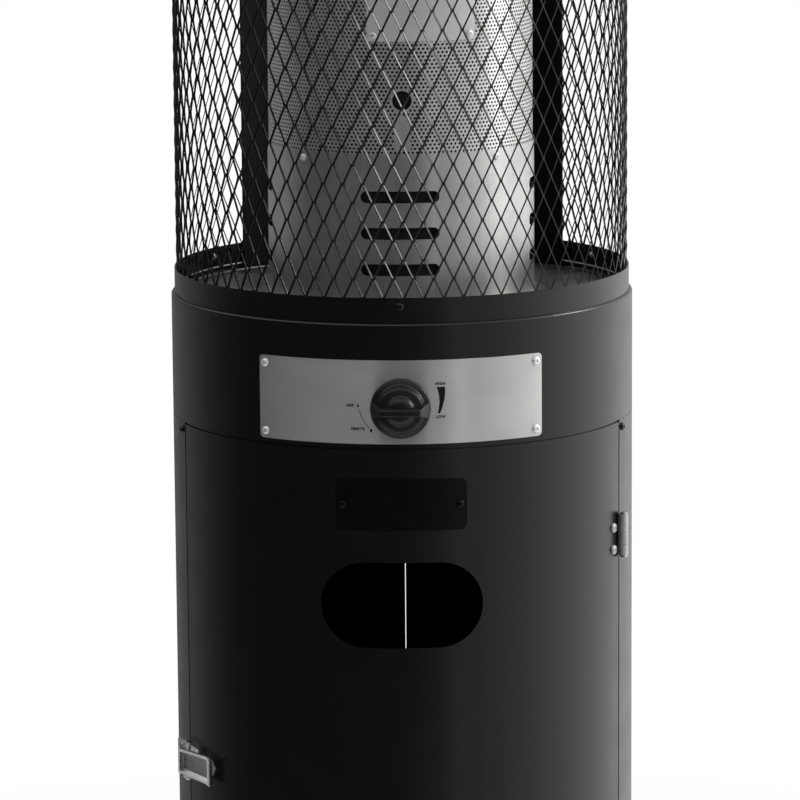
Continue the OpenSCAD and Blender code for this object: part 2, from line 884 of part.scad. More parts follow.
module control_panel() {
    spindle_hole_d = spindle_d + 6;
    color(STEEL)
        rolled_plate(cabinet_r + skin_fit, panel_t, 0, control_z)
            difference() {
                rounded_rect(panel_w, panel_h, 4);
                translate([0, -knob_drop])
                    circle(d = spindle_hole_d);
            }
}

module panel_screws() {
    inset_x = 5.5;
    inset_z = 7.3;
    angle = asin((panel_w / 2 - inset_x) / panel_front);
    color(STEEL)
        for (x = [-1, 1], z = [-1, 1])
            on_skin(x * angle, panel_front + skin_fit, control_z + z * (panel_h / 2 - inset_z))
                dome_head(screw_d, screw_d * 0.28);
}

// Knob and valve

// Places a shape on the spindle's axis, its Z pointing out of the panel, at a distance from the heater's axis
module on_spindle(r) {
    on_skin(0, r, knob_z)
        children();
}

module control_knob() {
    body_d = knob_d - 14;
    grip_w = 15;
    grip_waist = 8.5;
    grip_l = knob_d - 10;
    dome_h = knob_l - knob_skirt;
    waist_r = (grip_l * grip_l / 4 + pow((grip_w - grip_waist) / 2, 2)) / (grip_w - grip_waist);
    color(PLASTIC)
        on_spindle(knob_back)
            difference() {
                union() {
                    rotate_extrude()
                        polygon([[0, 0], [knob_d / 2 - 1, 0], [knob_d / 2, 1], [knob_d / 2, knob_skirt - 2],
                                 [knob_d / 2 - 2, knob_skirt], [body_d / 2 + 1, knob_skirt + 1],
                                 [body_d / 2 - 2, knob_skirt + dome_h * 0.55],
                                 [body_d / 2 - 6, knob_skirt + dome_h * 0.7], [0, knob_skirt + dome_h * 0.75]]);
                    intersection() {
                        linear_extrude(knob_l)
                            difference() {
                                square([grip_l, grip_w], center = true);
                                for (side = [-1, 1])
                                    translate([0, side * (grip_waist / 2 + waist_r)])
                                        circle(waist_r);
                            }
                        translate([0, 0, -knob_d])
                            sphere(knob_l + knob_d);
                        cylinder(d1 = knob_d, d2 = grip_l - 4, h = knob_l);
                    }
                }
                translate([0, 0, -1])
                    cylinder(d = spindle_d + 2 * pin_fit, h = spindle_in + 1);
            }
}

// The spindle turns with the knob and slides with the plunger behind it
module valve_spindle() {
    end = knob_back + spindle_in - pin_fit;
    color(BRASS)
        on_spindle(spindle_back)
            cylinder(d = spindle_d, h = end - spindle_back);
}

module valve_plunger() {
    color(BRASS)
        on_spindle(spindle_back - plunger_l - pin_fit)
            cylinder(d = spindle_d + 4, h = plunger_l);
}

module gas_valve() {
    boss_l = cabinet_r - valve_front - sheet_t;
    boss_d = 24;
    bore_d = spindle_d + 4 + 2 * pin_fit;
    bore_back = spindle_back - plunger_l - push_travel - 2;
    color(BRASS)
        difference() {
            union() {
                translate([-valve_size[0] / 2, -valve_front, knob_z - valve_size[2] / 2])
                    cube(valve_size);
                on_spindle(valve_front - 1)
                    cylinder(d = boss_d, h = 1 + boss_l);
                translate([0, -inlet_y, knob_z - valve_size[2] / 2 - 8])
                    cylinder(d = 18, h = 9);
                translate([0, -valve_back + port_l, port_z])
                    rotate([90, 0, 0])
                        cylinder(d = port_d, h = port_l + 2);
            }
            on_spindle(bore_back)
                cylinder(d = bore_d, h = spindle_back - bore_back);
            on_spindle(bore_back)
                cylinder(d = spindle_d + 2 * pin_fit, h = cabinet_r);
        }
}

// A plate that stands on the housing floor and carries the valve from behind
module valve_bracket() {
    foot_z = floor_z + sheet_t;
    plate_y = -valve_back;
    color(STEEL)
        difference() {
            union() {
                translate([-valve_size[0] / 2 - 8, plate_y, foot_z])
                    cube([valve_size[0] + 16, sheet_t, knob_z + valve_size[2] / 2 - foot_z]);
                translate([-valve_size[0] / 2 - 8, plate_y, foot_z])
                    cube([valve_size[0] + 16, 24, sheet_t]);
            }
            translate([0, plate_y, port_z])
                rotate([90, 0, 0])
                    cylinder(d = port_d + 4, h = 10, center = true);
        }
}

// A hose tail under the housing, with its nut and its pipe up to the valve
module gas_inlet() {
    tail_l = 30;
    nut_h = 10;
    top = knob_z - valve_size[2] / 2 - 8;
    nut_z = floor_z - nut_h;
    color(BRASS)
        translate([0, -inlet_y, 0]) {
            translate([0, 0, nut_z])
                cylinder(d = 24, h = nut_h, $fn = 6);
            translate([0, 0, floor_z - 0.5])
                cylinder(d = pipe_d + 2, h = top - floor_z + 0.5);
            translate([0, 0, nut_z - tail_l])
                rotate_extrude()
                    polygon([[0, 0], [hose_tail_d / 2 - 1, 0], [hose_tail_d / 2, 1.5],
                             [hose_tail_d / 2, tail_l + 0.5], [0, tail_l + 0.5]]);
        }
}

// Burner

venturi_d = 26;
venturi_drop = 62;
venturi_z0 = deck_z - venturi_drop;

// The pipe leaves the back of the valve and turns up under the venturi
module gas_pipe() {
    color(BRASS)
        bar_run([[0, -valve_back + port_l, port_z], [0, 0, port_z], [0, 0, venturi_z0]], pipe_d);
}

deck_hole_d = 70;
lead_hole_d = lead_d + 4;
lead_gap = 24;
lead_y = burner_r + lead_gap;
lead_xs = [-16, 0, 16];

module deck_plate() {
    color(STEEL)
        translate([0, 0, deck_z - sheet_t])
            difference() {
                cylinder(r = deck_r, h = sheet_t);
                translate([0, 0, -1])
                    cylinder(d = deck_hole_d, h = sheet_t + 2);
                for (x = lead_xs)
                    translate([x, -lead_y, -1])
                        cylinder(d = lead_hole_d, h = sheet_t + 2);
            }
}

pot_h = 150;
pot_t = 1.5;

module burner_pot() {
    flange_r = burner_r + 12;
    color(STEEL)
        translate([0, 0, deck_z])
            rotate_extrude() {
                translate([venturi_d / 2 + pin_fit, 0])
                    square([flange_r - venturi_d / 2 - pin_fit, pot_t]);
                translate([burner_r - pot_t, 0])
                    square([pot_t, pot_h]);
            }
}

module burner_gauze() {
    rise = 26;
    ball_r = (burner_r * burner_r + rise * rise) / (2 * rise);
    color(STEEL)
        translate([0, 0, deck_z + pot_h])
            rotate_extrude()
                intersection() {
                    difference() {
                        translate([0, rise - ball_r])
                            circle(ball_r);
                        translate([0, rise - ball_r])
                            circle(ball_r - pot_t);
                    }
                    square([burner_r, rise + 1]);
                }
}

module burner_venturi() {
    venturi_t = 2;
    air_d = 12;
    color(STEEL)
        difference() {
            translate([0, 0, venturi_z0])
                cylinder(d = venturi_d, h = deck_z - venturi_z0 + pot_h / 2);
            translate([0, 0, venturi_z0 + venturi_t])
                cylinder(d = venturi_d - 2 * venturi_t, h = venturi_drop + pot_h);
            for (angle = [0, 90])
                translate([0, 0, venturi_z0 + 20])
                    rotate([90, 0, angle])
                        cylinder(d = air_d, h = 2 * venturi_d, center = true);
        }
}

pilot_z = deck_z + pot_h - 12;

// A small shelf on the front of the burner pot that holds the pilot, the thermocouple and the electrode
module pilot_bracket() {
    shelf_w = 52;
    shelf_d = lead_y - burner_r + 10;
    shelf_y = -burner_r - skin_fit - shelf_d;
    leg_h = 26;
    color(STEEL)
        difference() {
            union() {
                translate([-shelf_w / 2, shelf_y, pilot_z - pot_t])
                    cube([shelf_w, shelf_d, pot_t]);
                translate([-8, -burner_r - skin_fit - pot_t, pilot_z - leg_h])
                    cube([16, pot_t, leg_h]);
            }
            for (x = lead_xs)
                translate([x, -lead_y, pilot_z - 2 * pot_t])
                    cylinder(d = lead_d + 2 * sheet_fit, h = 3 * pot_t);
            cylinder(r = burner_r + skin_fit, h = 2 * pilot_z);
        }
}

// A lead from the valve, up through the deck and the shelf to its tip above the burner's edge
module lead_run(x, tip) {
    valve_top = knob_z + valve_size[2] / 2;
    start_y = -valve_front + 18;
    bar_run([[x, start_y, valve_top], [x, start_y, valve_top + 12],
             [x, -lead_y, valve_top + 12], [x, -lead_y, pilot_z + tip]], lead_d);
}

module pilot_tube() {
    color(BRASS) {
        lead_run(lead_xs[0], 12);
        translate([lead_xs[0], -lead_y, pilot_z + sheet_fit])
            cylinder(d = lead_d + 5, h = 16);
    }
}

module thermocouple() {
    color(BRASS)
        lead_run(lead_xs[1], 38);
}

module ignition_lead() {
    color([0.85, 0.84, 0.8]) {
        lead_run(lead_xs[2], 30);
        translate([lead_xs[2], -lead_y, pilot_z + sheet_fit])
            cylinder(d = lead_d + 3, h = 20);
    }
}

module tilt_switch() {
    color(PLASTIC)
        translate([70, -60, floor_z + sheet_t]) {
            translate([-17, -14, 0])
                cube([34, 28, 22]);
            translate([0, 0, 22])
                cylinder(d = 20, h = 8);
        }
}

slot_groups = 4;

module air_sleeve() {
    flange_w = 12;
    color(STEEL)
        difference() {
            translate([0, 0, deck_z])
                rotate_extrude() {
                    translate([sleeve_r - steel_t, 0])
                        square([steel_t, sleeve_h]);
                    translate([sleeve_r - steel_t, 0])
                        square([flange_w, steel_t]);
                }
            for (g = [0 : slot_groups - 1], k = [0 : 2])
                on_skin(g * 360 / slot_groups, sleeve_r * 0.8, deck_z + slot_rise + k * slot_pitch)
                    linear_extrude(sleeve_r)
                        stadium(2 * sleeve_r * sin(slot_half_angle), slot_h);
        }
}

module emitter_screen() {
    color(STEEL)
        difference() {
            hoop(screen_r, steel_t, sleeve_z1 - screen_lap, screen_z1);
            on_skin(0, screen_r * 0.8, sleeve_z1 + sight_rise)
                cylinder(d = sight_d, h = screen_r);
        }
}

// A flat lid with a rim that turns down over the screen
module emitter_lid() {
    rim_h = 12;
    lid_r = screen_r + sheet_fit + steel_t;
    color(STEEL)
        translate([0, 0, screen_z1])
            rotate_extrude() {
                square([lid_r, steel_t]);
                translate([lid_r - steel_t, -rim_h])
                    square([steel_t, rim_h + steel_t]);
            }
}

module emitter_plate() {
    color(STEEL)
        rolled_plate(screen_r + skin_fit, steel_t, plate_angle, sleeve_z1 + plate_rise + plate_h / 2)
            rounded_rect(plate_w, plate_h, 3);
}

// Screws at the top of the sleeve and at the corners of the bare plate
module emitter_screws() {
    small_d = screw_d - 2;
    sleeve_edge = 7;
    plate_inset = 6;
    plate_half = asin((plate_w / 2 - plate_inset) / screen_r);
    color(STEEL) {
        for (angle = [45 : 90 : 315])
            on_skin(angle, sleeve_r + skin_fit, sleeve_z1 - sleeve_edge)
                dome_head(small_d, small_d * 0.35);
        for (side = [-1, 1], z = [plate_inset, plate_h - plate_inset])
            on_skin(plate_angle + side * plate_half, screen_r + steel_t + 2 * skin_fit, sleeve_z1 + plate_rise + z)
                dome_head(small_d, small_d * 0.35);
    }
}

// Guard

module guard_ring() {
    color(PAINT)
        hoop(guard_r, sheet_t, seat_z, ring_z1);
}

module ring_screws() {
    drop = 8.4;
    color(PAINT)
        for (angle = [0 : 60 : 300])
            on_skin(angle, guard_r + skin_fit, ring_z1 - drop)
                dome_head(screw_d, screw_d * 0.34);
}

module cell(a, b) {
    polygon([[-a, 0], [0, -b], [a, 0], [0, b]]);
}

// One panel of expanded mesh. Its strands are flat between the bonds, and it bends at the bonds.
// The cells of one row lie between those of the next, and the cells along the panel's edges are cut in half.
module mesh_panel(angle) {
    span = panel_cells * cell_pitch;
    inner_r = mesh_r - mesh_t;
    bends = [for (k = [0 : 2 * panel_cells]) angle - span / 2 + k * cell_pitch / 2];
    color(PAINT)
        difference() {
            translate([0, 0, mesh_z0])
                linear_extrude(mesh_z1 - mesh_z0)
                    polygon(concat([for (a = bends) spot(a, mesh_r)],
                                   [for (k = [len(bends) - 1 : -1 : 0]) spot(bends[k], inner_r)]));
            for (i = [0 : 2 * panel_cells], j = [0 : 2 * mesh_rows])
                if ((i + j) % 2 == 0)
                    on_skin(bends[i], inner_r - 4, mesh_z0 + j * cell_b)
                        linear_extrude(mesh_t + 8)
                            cell(cell_a * cell_open, cell_b * cell_open);
        }
}

module guard_mesh_front() { mesh_panel(0); }

module guard_mesh_front_right() { mesh_panel(60); }

module guard_mesh_rear_right() { mesh_panel(120); }

module guard_mesh_rear() { mesh_panel(180); }

module guard_mesh_rear_left() { mesh_panel(240); }

module guard_mesh_front_left() { mesh_panel(300); }

module guard_posts() {
    half = arc_angle(post_w / 2, post_r);
    color(PAINT)
        for (side = [-1, 1])
            shell(post_r, sheet_t, seat_z + sheet_fit, top_ring_z1, side * post_angle - half, side * post_angle + half);
}

module guard_top_ring() {
    color(PAINT)
        hoop(guard_r, sheet_t, top_ring_z0, top_ring_z1);
}

// The domed top rests on the upper ring, and its skirt turns down outside it
module top_cap() {
    skirt_r = guard_r + sheet_fit + sheet_t;
    ledge_in = guard_r - sheet_t - 4;
    ball_r = (skirt_r * skirt_r + cap_rise * cap_rise) / (2 * cap_rise);
    color(PAINT)
        translate([0, 0, top_ring_z1])
            rotate_extrude() {
                translate([skirt_r - sheet_t, -cap_skirt])
                    square([sheet_t, cap_skirt + sheet_t]);
                translate([ledge_in, 0])
                    square([skirt_r - ledge_in, sheet_t]);
                intersection() {
                    difference() {
                        translate([0, sheet_t + cap_rise - ball_r])
                            circle(ball_r);
                        translate([0, sheet_t + cap_rise - ball_r])
                            circle(ball_r - sheet_t);
                    }
                    square([skirt_r, cap_rise + 2 * sheet_t]);
                }
            }
}

base_pan();
base_feet();
wheel_brackets();
wheel_axle();
wheel_left();
wheel_right();
axle_caps();
cabinet_side_left();
cabinet_side_right();
cabinet_screws();
door_panel();
name_plate();
name_plate_rivets();
hinge_frame_leaves();
hinge_door_leaves();
hinge_pins();
hinge_screws();
latch_base();
latch_pin();
latch_lever();
latch_loop();
latch_keeper();
control_housing();
housing_floor();
control_panel();
panel_screws();
control_knob();
valve_spindle();
valve_plunger();
gas_valve();
valve_bracket();
gas_inlet();
gas_pipe();
pilot_tube();
thermocouple();
ignition_lead();
tilt_switch();
deck_plate();
burner_pot();
burner_gauze();
burner_venturi();
pilot_bracket();
air_sleeve();
emitter_screen();
emitter_lid();
emitter_plate();
emitter_screws();
guard_ring();
ring_screws();
guard_mesh_front();
guard_mesh_front_right();
guard_mesh_rear_right();
guard_mesh_rear();
guard_mesh_rear_left();
guard_mesh_front_left();
guard_posts();
guard_top_ring();
top_cap();
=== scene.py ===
"""Gas patio heater: the looks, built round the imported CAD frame.

CAD nodes whose shape is right stay and get a finish. The guard's mesh, the perforated emitter, the knob, the
printed dial, the screw heads, the latch and some thin trim are modelled here, each on the body it belongs to.
"""

import json
import logging
import math
from collections.abc import Callable
from dataclasses import dataclass
from enum import Enum
from functools import cached_property

import bpy
import numpy as np
from mathutils import Matrix, Vector

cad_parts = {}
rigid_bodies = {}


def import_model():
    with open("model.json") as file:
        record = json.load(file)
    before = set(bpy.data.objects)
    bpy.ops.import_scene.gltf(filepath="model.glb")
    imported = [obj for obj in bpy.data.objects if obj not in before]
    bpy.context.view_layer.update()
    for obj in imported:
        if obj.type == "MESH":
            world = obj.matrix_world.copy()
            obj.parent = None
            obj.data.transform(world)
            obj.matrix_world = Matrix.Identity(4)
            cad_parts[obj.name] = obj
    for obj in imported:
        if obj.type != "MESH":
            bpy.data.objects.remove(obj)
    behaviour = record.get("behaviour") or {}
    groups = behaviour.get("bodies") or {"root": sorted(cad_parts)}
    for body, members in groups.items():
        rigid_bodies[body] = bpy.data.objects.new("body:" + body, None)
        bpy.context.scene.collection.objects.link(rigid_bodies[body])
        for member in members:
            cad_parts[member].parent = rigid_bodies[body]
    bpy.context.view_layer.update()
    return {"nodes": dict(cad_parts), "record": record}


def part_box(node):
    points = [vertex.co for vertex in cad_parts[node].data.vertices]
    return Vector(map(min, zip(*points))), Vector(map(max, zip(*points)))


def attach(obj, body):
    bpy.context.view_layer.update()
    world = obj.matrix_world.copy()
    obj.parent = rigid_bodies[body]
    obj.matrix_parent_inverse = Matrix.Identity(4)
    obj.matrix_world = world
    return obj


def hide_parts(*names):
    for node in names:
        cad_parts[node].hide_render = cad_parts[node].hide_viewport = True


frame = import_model()
LOG = logging.getLogger("patio_heater")
MM = 0.001
WELD = 0.002 * MM
UPRIGHT = Matrix.Rotation(math.radians(90), 4, "X")

Thing = bpy.types.Object
Material = bpy.types.Material
Socket = bpy.types.NodeSocket
Pair = tuple[float, float]
Triple = tuple[float, float, float]


class Body(Enum):
    """The moving bodies that the pieces ride on."""

    FRAME = "frame"
    DOOR = "door"
    KNOB = "knob"
    LEVER = "latch_lever"
    LOOP = "latch_loop"


def turned(degrees: float) -> Matrix:
    """Returns a turn round Z."""
    return Matrix.Rotation(math.radians(degrees), 4, "Z")


def top_of(node: str) -> float:
    """Returns the height of a node's top."""
    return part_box(node)[1].z


def reach_of(node: str) -> float:
    """Returns the largest distance of a node's surface from the upright axis."""
    return max(math.hypot(p.co.x, p.co.y) for p in frame["nodes"][node].data.vertices)


def heads_of(node: str, apart: float) -> list[Triple]:
    """Finds the separate heads in a node of screws or rivets.

    Args:
        node: the CAD node.
        apart: a length between a head's size and the gap to the next head.

    Returns:
        Angle from the front in degrees, radius of the seat and height of each head.
    """
    left = [p.co.copy() for p in frame["nodes"][node].data.vertices]
    found = []
    while left:
        seed = left[0]
        near = [p for p in left if (p - seed).length < apart]
        left = [p for p in left if (p - seed).length >= apart]
        x, y, z = ((min(p[i] for p in near) + max(p[i] for p in near)) / 2 for i in range(3))
        seat = min(math.hypot(p.x, p.y) for p in near)
        found.append((math.degrees(math.atan2(x, -y)), seat, z))
    return found


class Bench:
    """Modelling steps that several pieces share. A flat piece lies in XY with Z out of the skin."""

    @staticmethod
    def clear() -> None:
        """Leaves edit mode and deselects everything."""
        if bpy.context.mode != "OBJECT":
            bpy.ops.object.mode_set(mode="OBJECT")
        bpy.ops.object.select_all(action="DESELECT")

    @staticmethod
    def pick(*pieces: Thing) -> None:
        """Selects some objects alone and makes the first one active.

        Args:
            pieces: the objects.
        """
        Bench.clear()
        for piece in pieces:
            piece.select_set(True)
        bpy.context.view_layer.objects.active = pieces[0]

    @staticmethod
    def edit(piece: Thing, kind: str = "VERT") -> None:
        """Opens one object in edit mode with everything selected.

        Args:
            piece: the object being shaped.
            kind: VERT, EDGE or FACE.
        """
        Bench.pick(piece)
        bpy.ops.object.mode_set(mode="EDIT")
        bpy.ops.mesh.select_mode(type=kind)
        bpy.ops.mesh.select_all(action="SELECT")

    @staticmethod
    def choose(piece: Thing, kind: str, test: Callable[..., bool]) -> None:
        """Selects vertices or faces by place, and returns to edit mode.

        Args:
            piece: the object being shaped.
            kind: VERT or FACE.
            test: takes a vertex or a face and says whether it is wanted.
        """
        bpy.ops.mesh.select_mode(type=kind)
        bpy.ops.mesh.select_all(action="DESELECT")
        bpy.ops.object.mode_set(mode="OBJECT")
        for item in piece.data.vertices if kind == "VERT" else piece.data.polygons:
            item.select = bool(test(item))
        bpy.ops.object.mode_set(mode="EDIT")

    @staticmethod
    def extrude(step: Triple) -> None:
        """Extrudes what is selected by one step."""
        bpy.ops.mesh.extrude_region_move(TRANSFORM_OT_translate={"value": step})

    @staticmethod
    def follow(path: list[Triple]) -> None:
        """Extrudes what is selected, step by step, along a path that starts where it is."""
        for start, end in zip(path, path[1:]):
            Bench.extrude(tuple(b - a for a, b in zip(start, end)))

    @staticmethod
    def settle(name: str, size: Triple = (1.0, 1.0, 1.0)) -> Thing:
        """Names the shape that was added last and puts its size and place into its mesh.

        Args:
            name: the object's name.
            size: factors on its three lengths.

        Returns:
            The object.
        """
        made = bpy.context.object
        made.name = name
        made.scale = size
        bpy.ops.object.transform_apply(location=True, rotation=True, scale=True)
        return made

    @staticmethod
    def block(name: str, size: Triple, centre: Triple) -> Thing:
        """Adds a box.

        Args:
            name: the object's name.
            size: its three lengths.
            centre: its middle.

        Returns:
            The box.
        """
        Bench.clear()
        bpy.ops.mesh.primitive_cube_add(size=1.0, location=centre)
        return Bench.settle(name, size)

    @staticmethod
    def sheet(name: str, wide: float, high: float) -> Thing:
        """Adds a flat rectangle in XY, centred at the origin.

        Args:
            name: the object's name.
            wide: its length along X.
            high: its length along Y.

        Returns:
            The rectangle.
        """
        Bench.clear()
        bpy.ops.mesh.primitive_plane_add(size=1.0)
        return Bench.settle(name, (wide, high, 1.0))

    @staticmethod
    def disc(name: str, sides: int, radius: float) -> Thing:
        """Adds a flat regular polygon in XY, centred at the origin.

        Args:
            name: the object's name.
            sides: number of its sides.
            radius: distance of its corners from the middle.

        Returns:
            The polygon.
        """
        Bench.clear()
        bpy.ops.mesh.primitive_circle_add(vertices=sides, radius=radius, fill_type="NGON")
        return Bench.settle(name)

    @staticmethod
    def rod(name: str, sides: int, radius: float, high: float, centre: Triple, ends: str = "NGON") -> Thing:
        """Adds a prism or a cylinder along Z.

        Args:
            name: the object's name.
            sides: number of its sides.
            radius: distance of its edges from the axis.
            high: its height.
            centre: its middle.
            ends: NGON for closed ends or NOTHING for open ones.

        Returns:
            The rod.
        """
        Bench.clear()
        bpy.ops.mesh.primitive_cylinder_add(vertices=sides, radius=radius, depth=high, location=centre,
                                            end_fill_type=ends)
        return Bench.settle(name)

    @staticmethod
    def chain(name: str, points: list[Triple]) -> Thing:
        """Draws a chain of points by extruding one vertex.

        Args:
            name: the object's name.
            points: the chain, in order.

        Returns:
            The chain, left in edit mode with everything selected.
        """
        made = Bench.sheet(name, MM, MM)
        Bench.edit(made)
        bpy.ops.mesh.merge(type="CENTER")
        bpy.ops.transform.translate(value=points[0])
        Bench.follow(points)
        bpy.ops.mesh.select_all(action="SELECT")
        return made

    @staticmethod
    def patch(name: str, points: list[Pair]) -> Thing:
        """Fills a closed outline with one flat face.

        Args:
            name: the object's name.
            points: the corners, in order.

        Returns:
            The face in XY, facing up Z.
        """
        made = Bench.chain(name, [(x, y, 0.0) for x, y in points])
        bpy.ops.mesh.edge_face_add()
        Bench.clear()
        if made.data.polygons[0].normal.z < 0:
            Bench.edit(made, "FACE")
            bpy.ops.mesh.flip_normals()
            Bench.clear()
        return made

    @staticmethod
    def plate(name: str, size: Pair, corner: float, segments: int, thick: float) -> Thing:
        """Rounds a sheet's corners and gives it a thickness up from XY.

        Args:
            name: the object's name.
            size: its width and height.
            corner: the radius of its corners.
            segments: steps in each corner.
            thick: its thickness.

        Returns:
            The plate.
        """
        made = Bench.sheet(name, *size)
        Bench.edit(made)
        bpy.ops.mesh.bevel(offset=corner, segments=segments, affect="VERTICES")
        Bench.clear()
        Bench.modify(made, "SOLIDIFY", thickness=thick, offset=1.0)
        return made

    @staticmethod
    def lathe(name: str, profile: list[Pair], steps: int) -> Thing:
        """Spins a profile round Z.

        Args:
            name: the object's name.
            profile: radius and height of each point, in order.
            steps: segments round the axis.

        Returns:
            The turned piece, with its seam and poles closed.
        """
        made = Bench.chain(name, [(radius, 0.0, height) for radius, height in profile])
        bpy.ops.mesh.spin(steps=steps, angle=2 * math.pi, center=(0, 0, 0), axis=(0, 0, 1))
        Bench.close()
        return made

    @staticmethod
    def hoop(name: str, radii: Pair, heights: Pair, steps: int) -> Thing:
        """Turns a hoop of plain section.

        Args:
            name: the object's name.
            radii: its inner and outer radius.
            heights: heights of its lower and upper edge.
            steps: segments round the axis.

        Returns:
            The hoop round Z.
        """
        (inner, outer), (foot, top) = radii, heights
        corners = [(inner, foot), (outer, foot), (outer, top), (inner, top), (inner, foot)]
        return Bench.lathe(name, corners, steps)

    @staticmethod
    def close() -> None:
        """Merges doubles, turns the normals outwards and leaves edit mode."""
        bpy.ops.mesh.select_all(action="SELECT")
        bpy.ops.mesh.remove_doubles(threshold=WELD)
        bpy.ops.mesh.normals_make_consistent(inside=False)
        bpy.ops.object.mode_set(mode="OBJECT")

    @staticmethod
    def modify(piece: Thing, kind: str, **settings: object) -> None:
        """Adds one modifier and applies it.

        Args:
            piece: the object being shaped.
            kind: the modifier's type.
            settings: values of the modifier's properties.
        """
        Bench.pick(piece)
        step = piece.modifiers.new(kind.lower(), kind)
        for key, value in settings.items():
            setattr(step, key, value)
        bpy.ops.object.modifier_apply(modifier=step.name)

    @staticmethod
    def cut(piece: Thing, cutter: Thing, crossed: bool = False) -> None:
        """Cuts a piece and deletes the cutter, whose own parts may overlap only if it is crossed."""
        Bench.modify(piece, "BOOLEAN", object=cutter, operation="DIFFERENCE", solver="EXACT",
                     use_self=crossed)
        Bench.drop(cutter)

    @staticmethod
    def soften(piece: Thing, width: float, segments: int = 2, angle: float = 35.0) -> None:
        """Rounds the edges that are sharper than an angle and shades the piece smooth."""
        Bench.modify(piece, "BEVEL", width=width, segments=segments, limit_method="ANGLE",
                     angle_limit=math.radians(angle))
        Bench.smooth(piece)

    @staticmethod
    def smooth(piece: Thing, angle: float = 40.0) -> None:
        """Shades a piece smooth up to an angle between faces."""
        Bench.pick(piece)
        bpy.ops.object.shade_smooth_by_angle(angle=math.radians(angle))

    @staticmethod
    def copy(piece: Thing, place: Matrix) -> Thing:
        """Copies a piece with its own mesh.

        Args:
            piece: what is copied.
            place: the move that the copy's mesh gets.

        Returns:
            The copy.
        """
        made = piece.copy()
        made.data = piece.data.copy()
        made.data.transform(place)
        bpy.context.scene.collection.objects.link(made)
        return made

    @staticmethod
    def drop(piece: Thing) -> None:
        """Deletes a master or a cutter that has served."""
        Bench.pick(piece)
        bpy.ops.object.delete()

    @staticmethod
    def join(pieces: list[Thing]) -> Thing:
        """Joins several objects into the first one.

        Args:
            pieces: the objects.

        Returns:
            The first object, with the meshes of all.
        """
        Bench.pick(*pieces)
        bpy.ops.object.join()
        return pieces[0]

    @staticmethod
    def skin_place(angle: float, radius: float, height: float) -> Matrix:
        """Returns the move from a flat piece to a place on the round skin, at degrees from the front."""
        return turned(angle) @ Matrix.Translation((0.0, -radius, height)) @ UPRIGHT

    @staticmethod
    def roll(piece: Thing, radius: float) -> None:
        """Rolls a piece that stands at the front round the upright axis.

        Args:
            piece: the object.
            radius: the radius at which widths stay as they are.
        """
        points = np.empty(len(piece.data.vertices) * 3)
        piece.data.vertices.foreach_get("co", points)
        points = points.reshape(-1, 3)
        turn = points[:, 0] / radius
        reach = -points[:, 1].copy()
        points[:, 0] = reach * np.sin(turn)
        points[:, 1] = -reach * np.cos(turn)
        piece.data.vertices.foreach_set("co", points.ravel())
        piece.data.update()

    @staticmethod
    def wrap(piece: Thing, radius: float, height: float, angle: float = 0.0, proud: float = 0.0) -> None:
        """Stands a flat piece on the round skin and rolls it to the skin's curve.

        Args:
            piece: the flat piece.
            radius: the skin's radius.
            height: where its origin comes to.
            angle: degrees from the front.
            proud: how far it stands off the skin.
        """
        piece.data.transform(Bench.skin_place(0.0, radius + proud, height))
        Bench.roll(piece, radius)
        piece.data.transform(turned(angle))


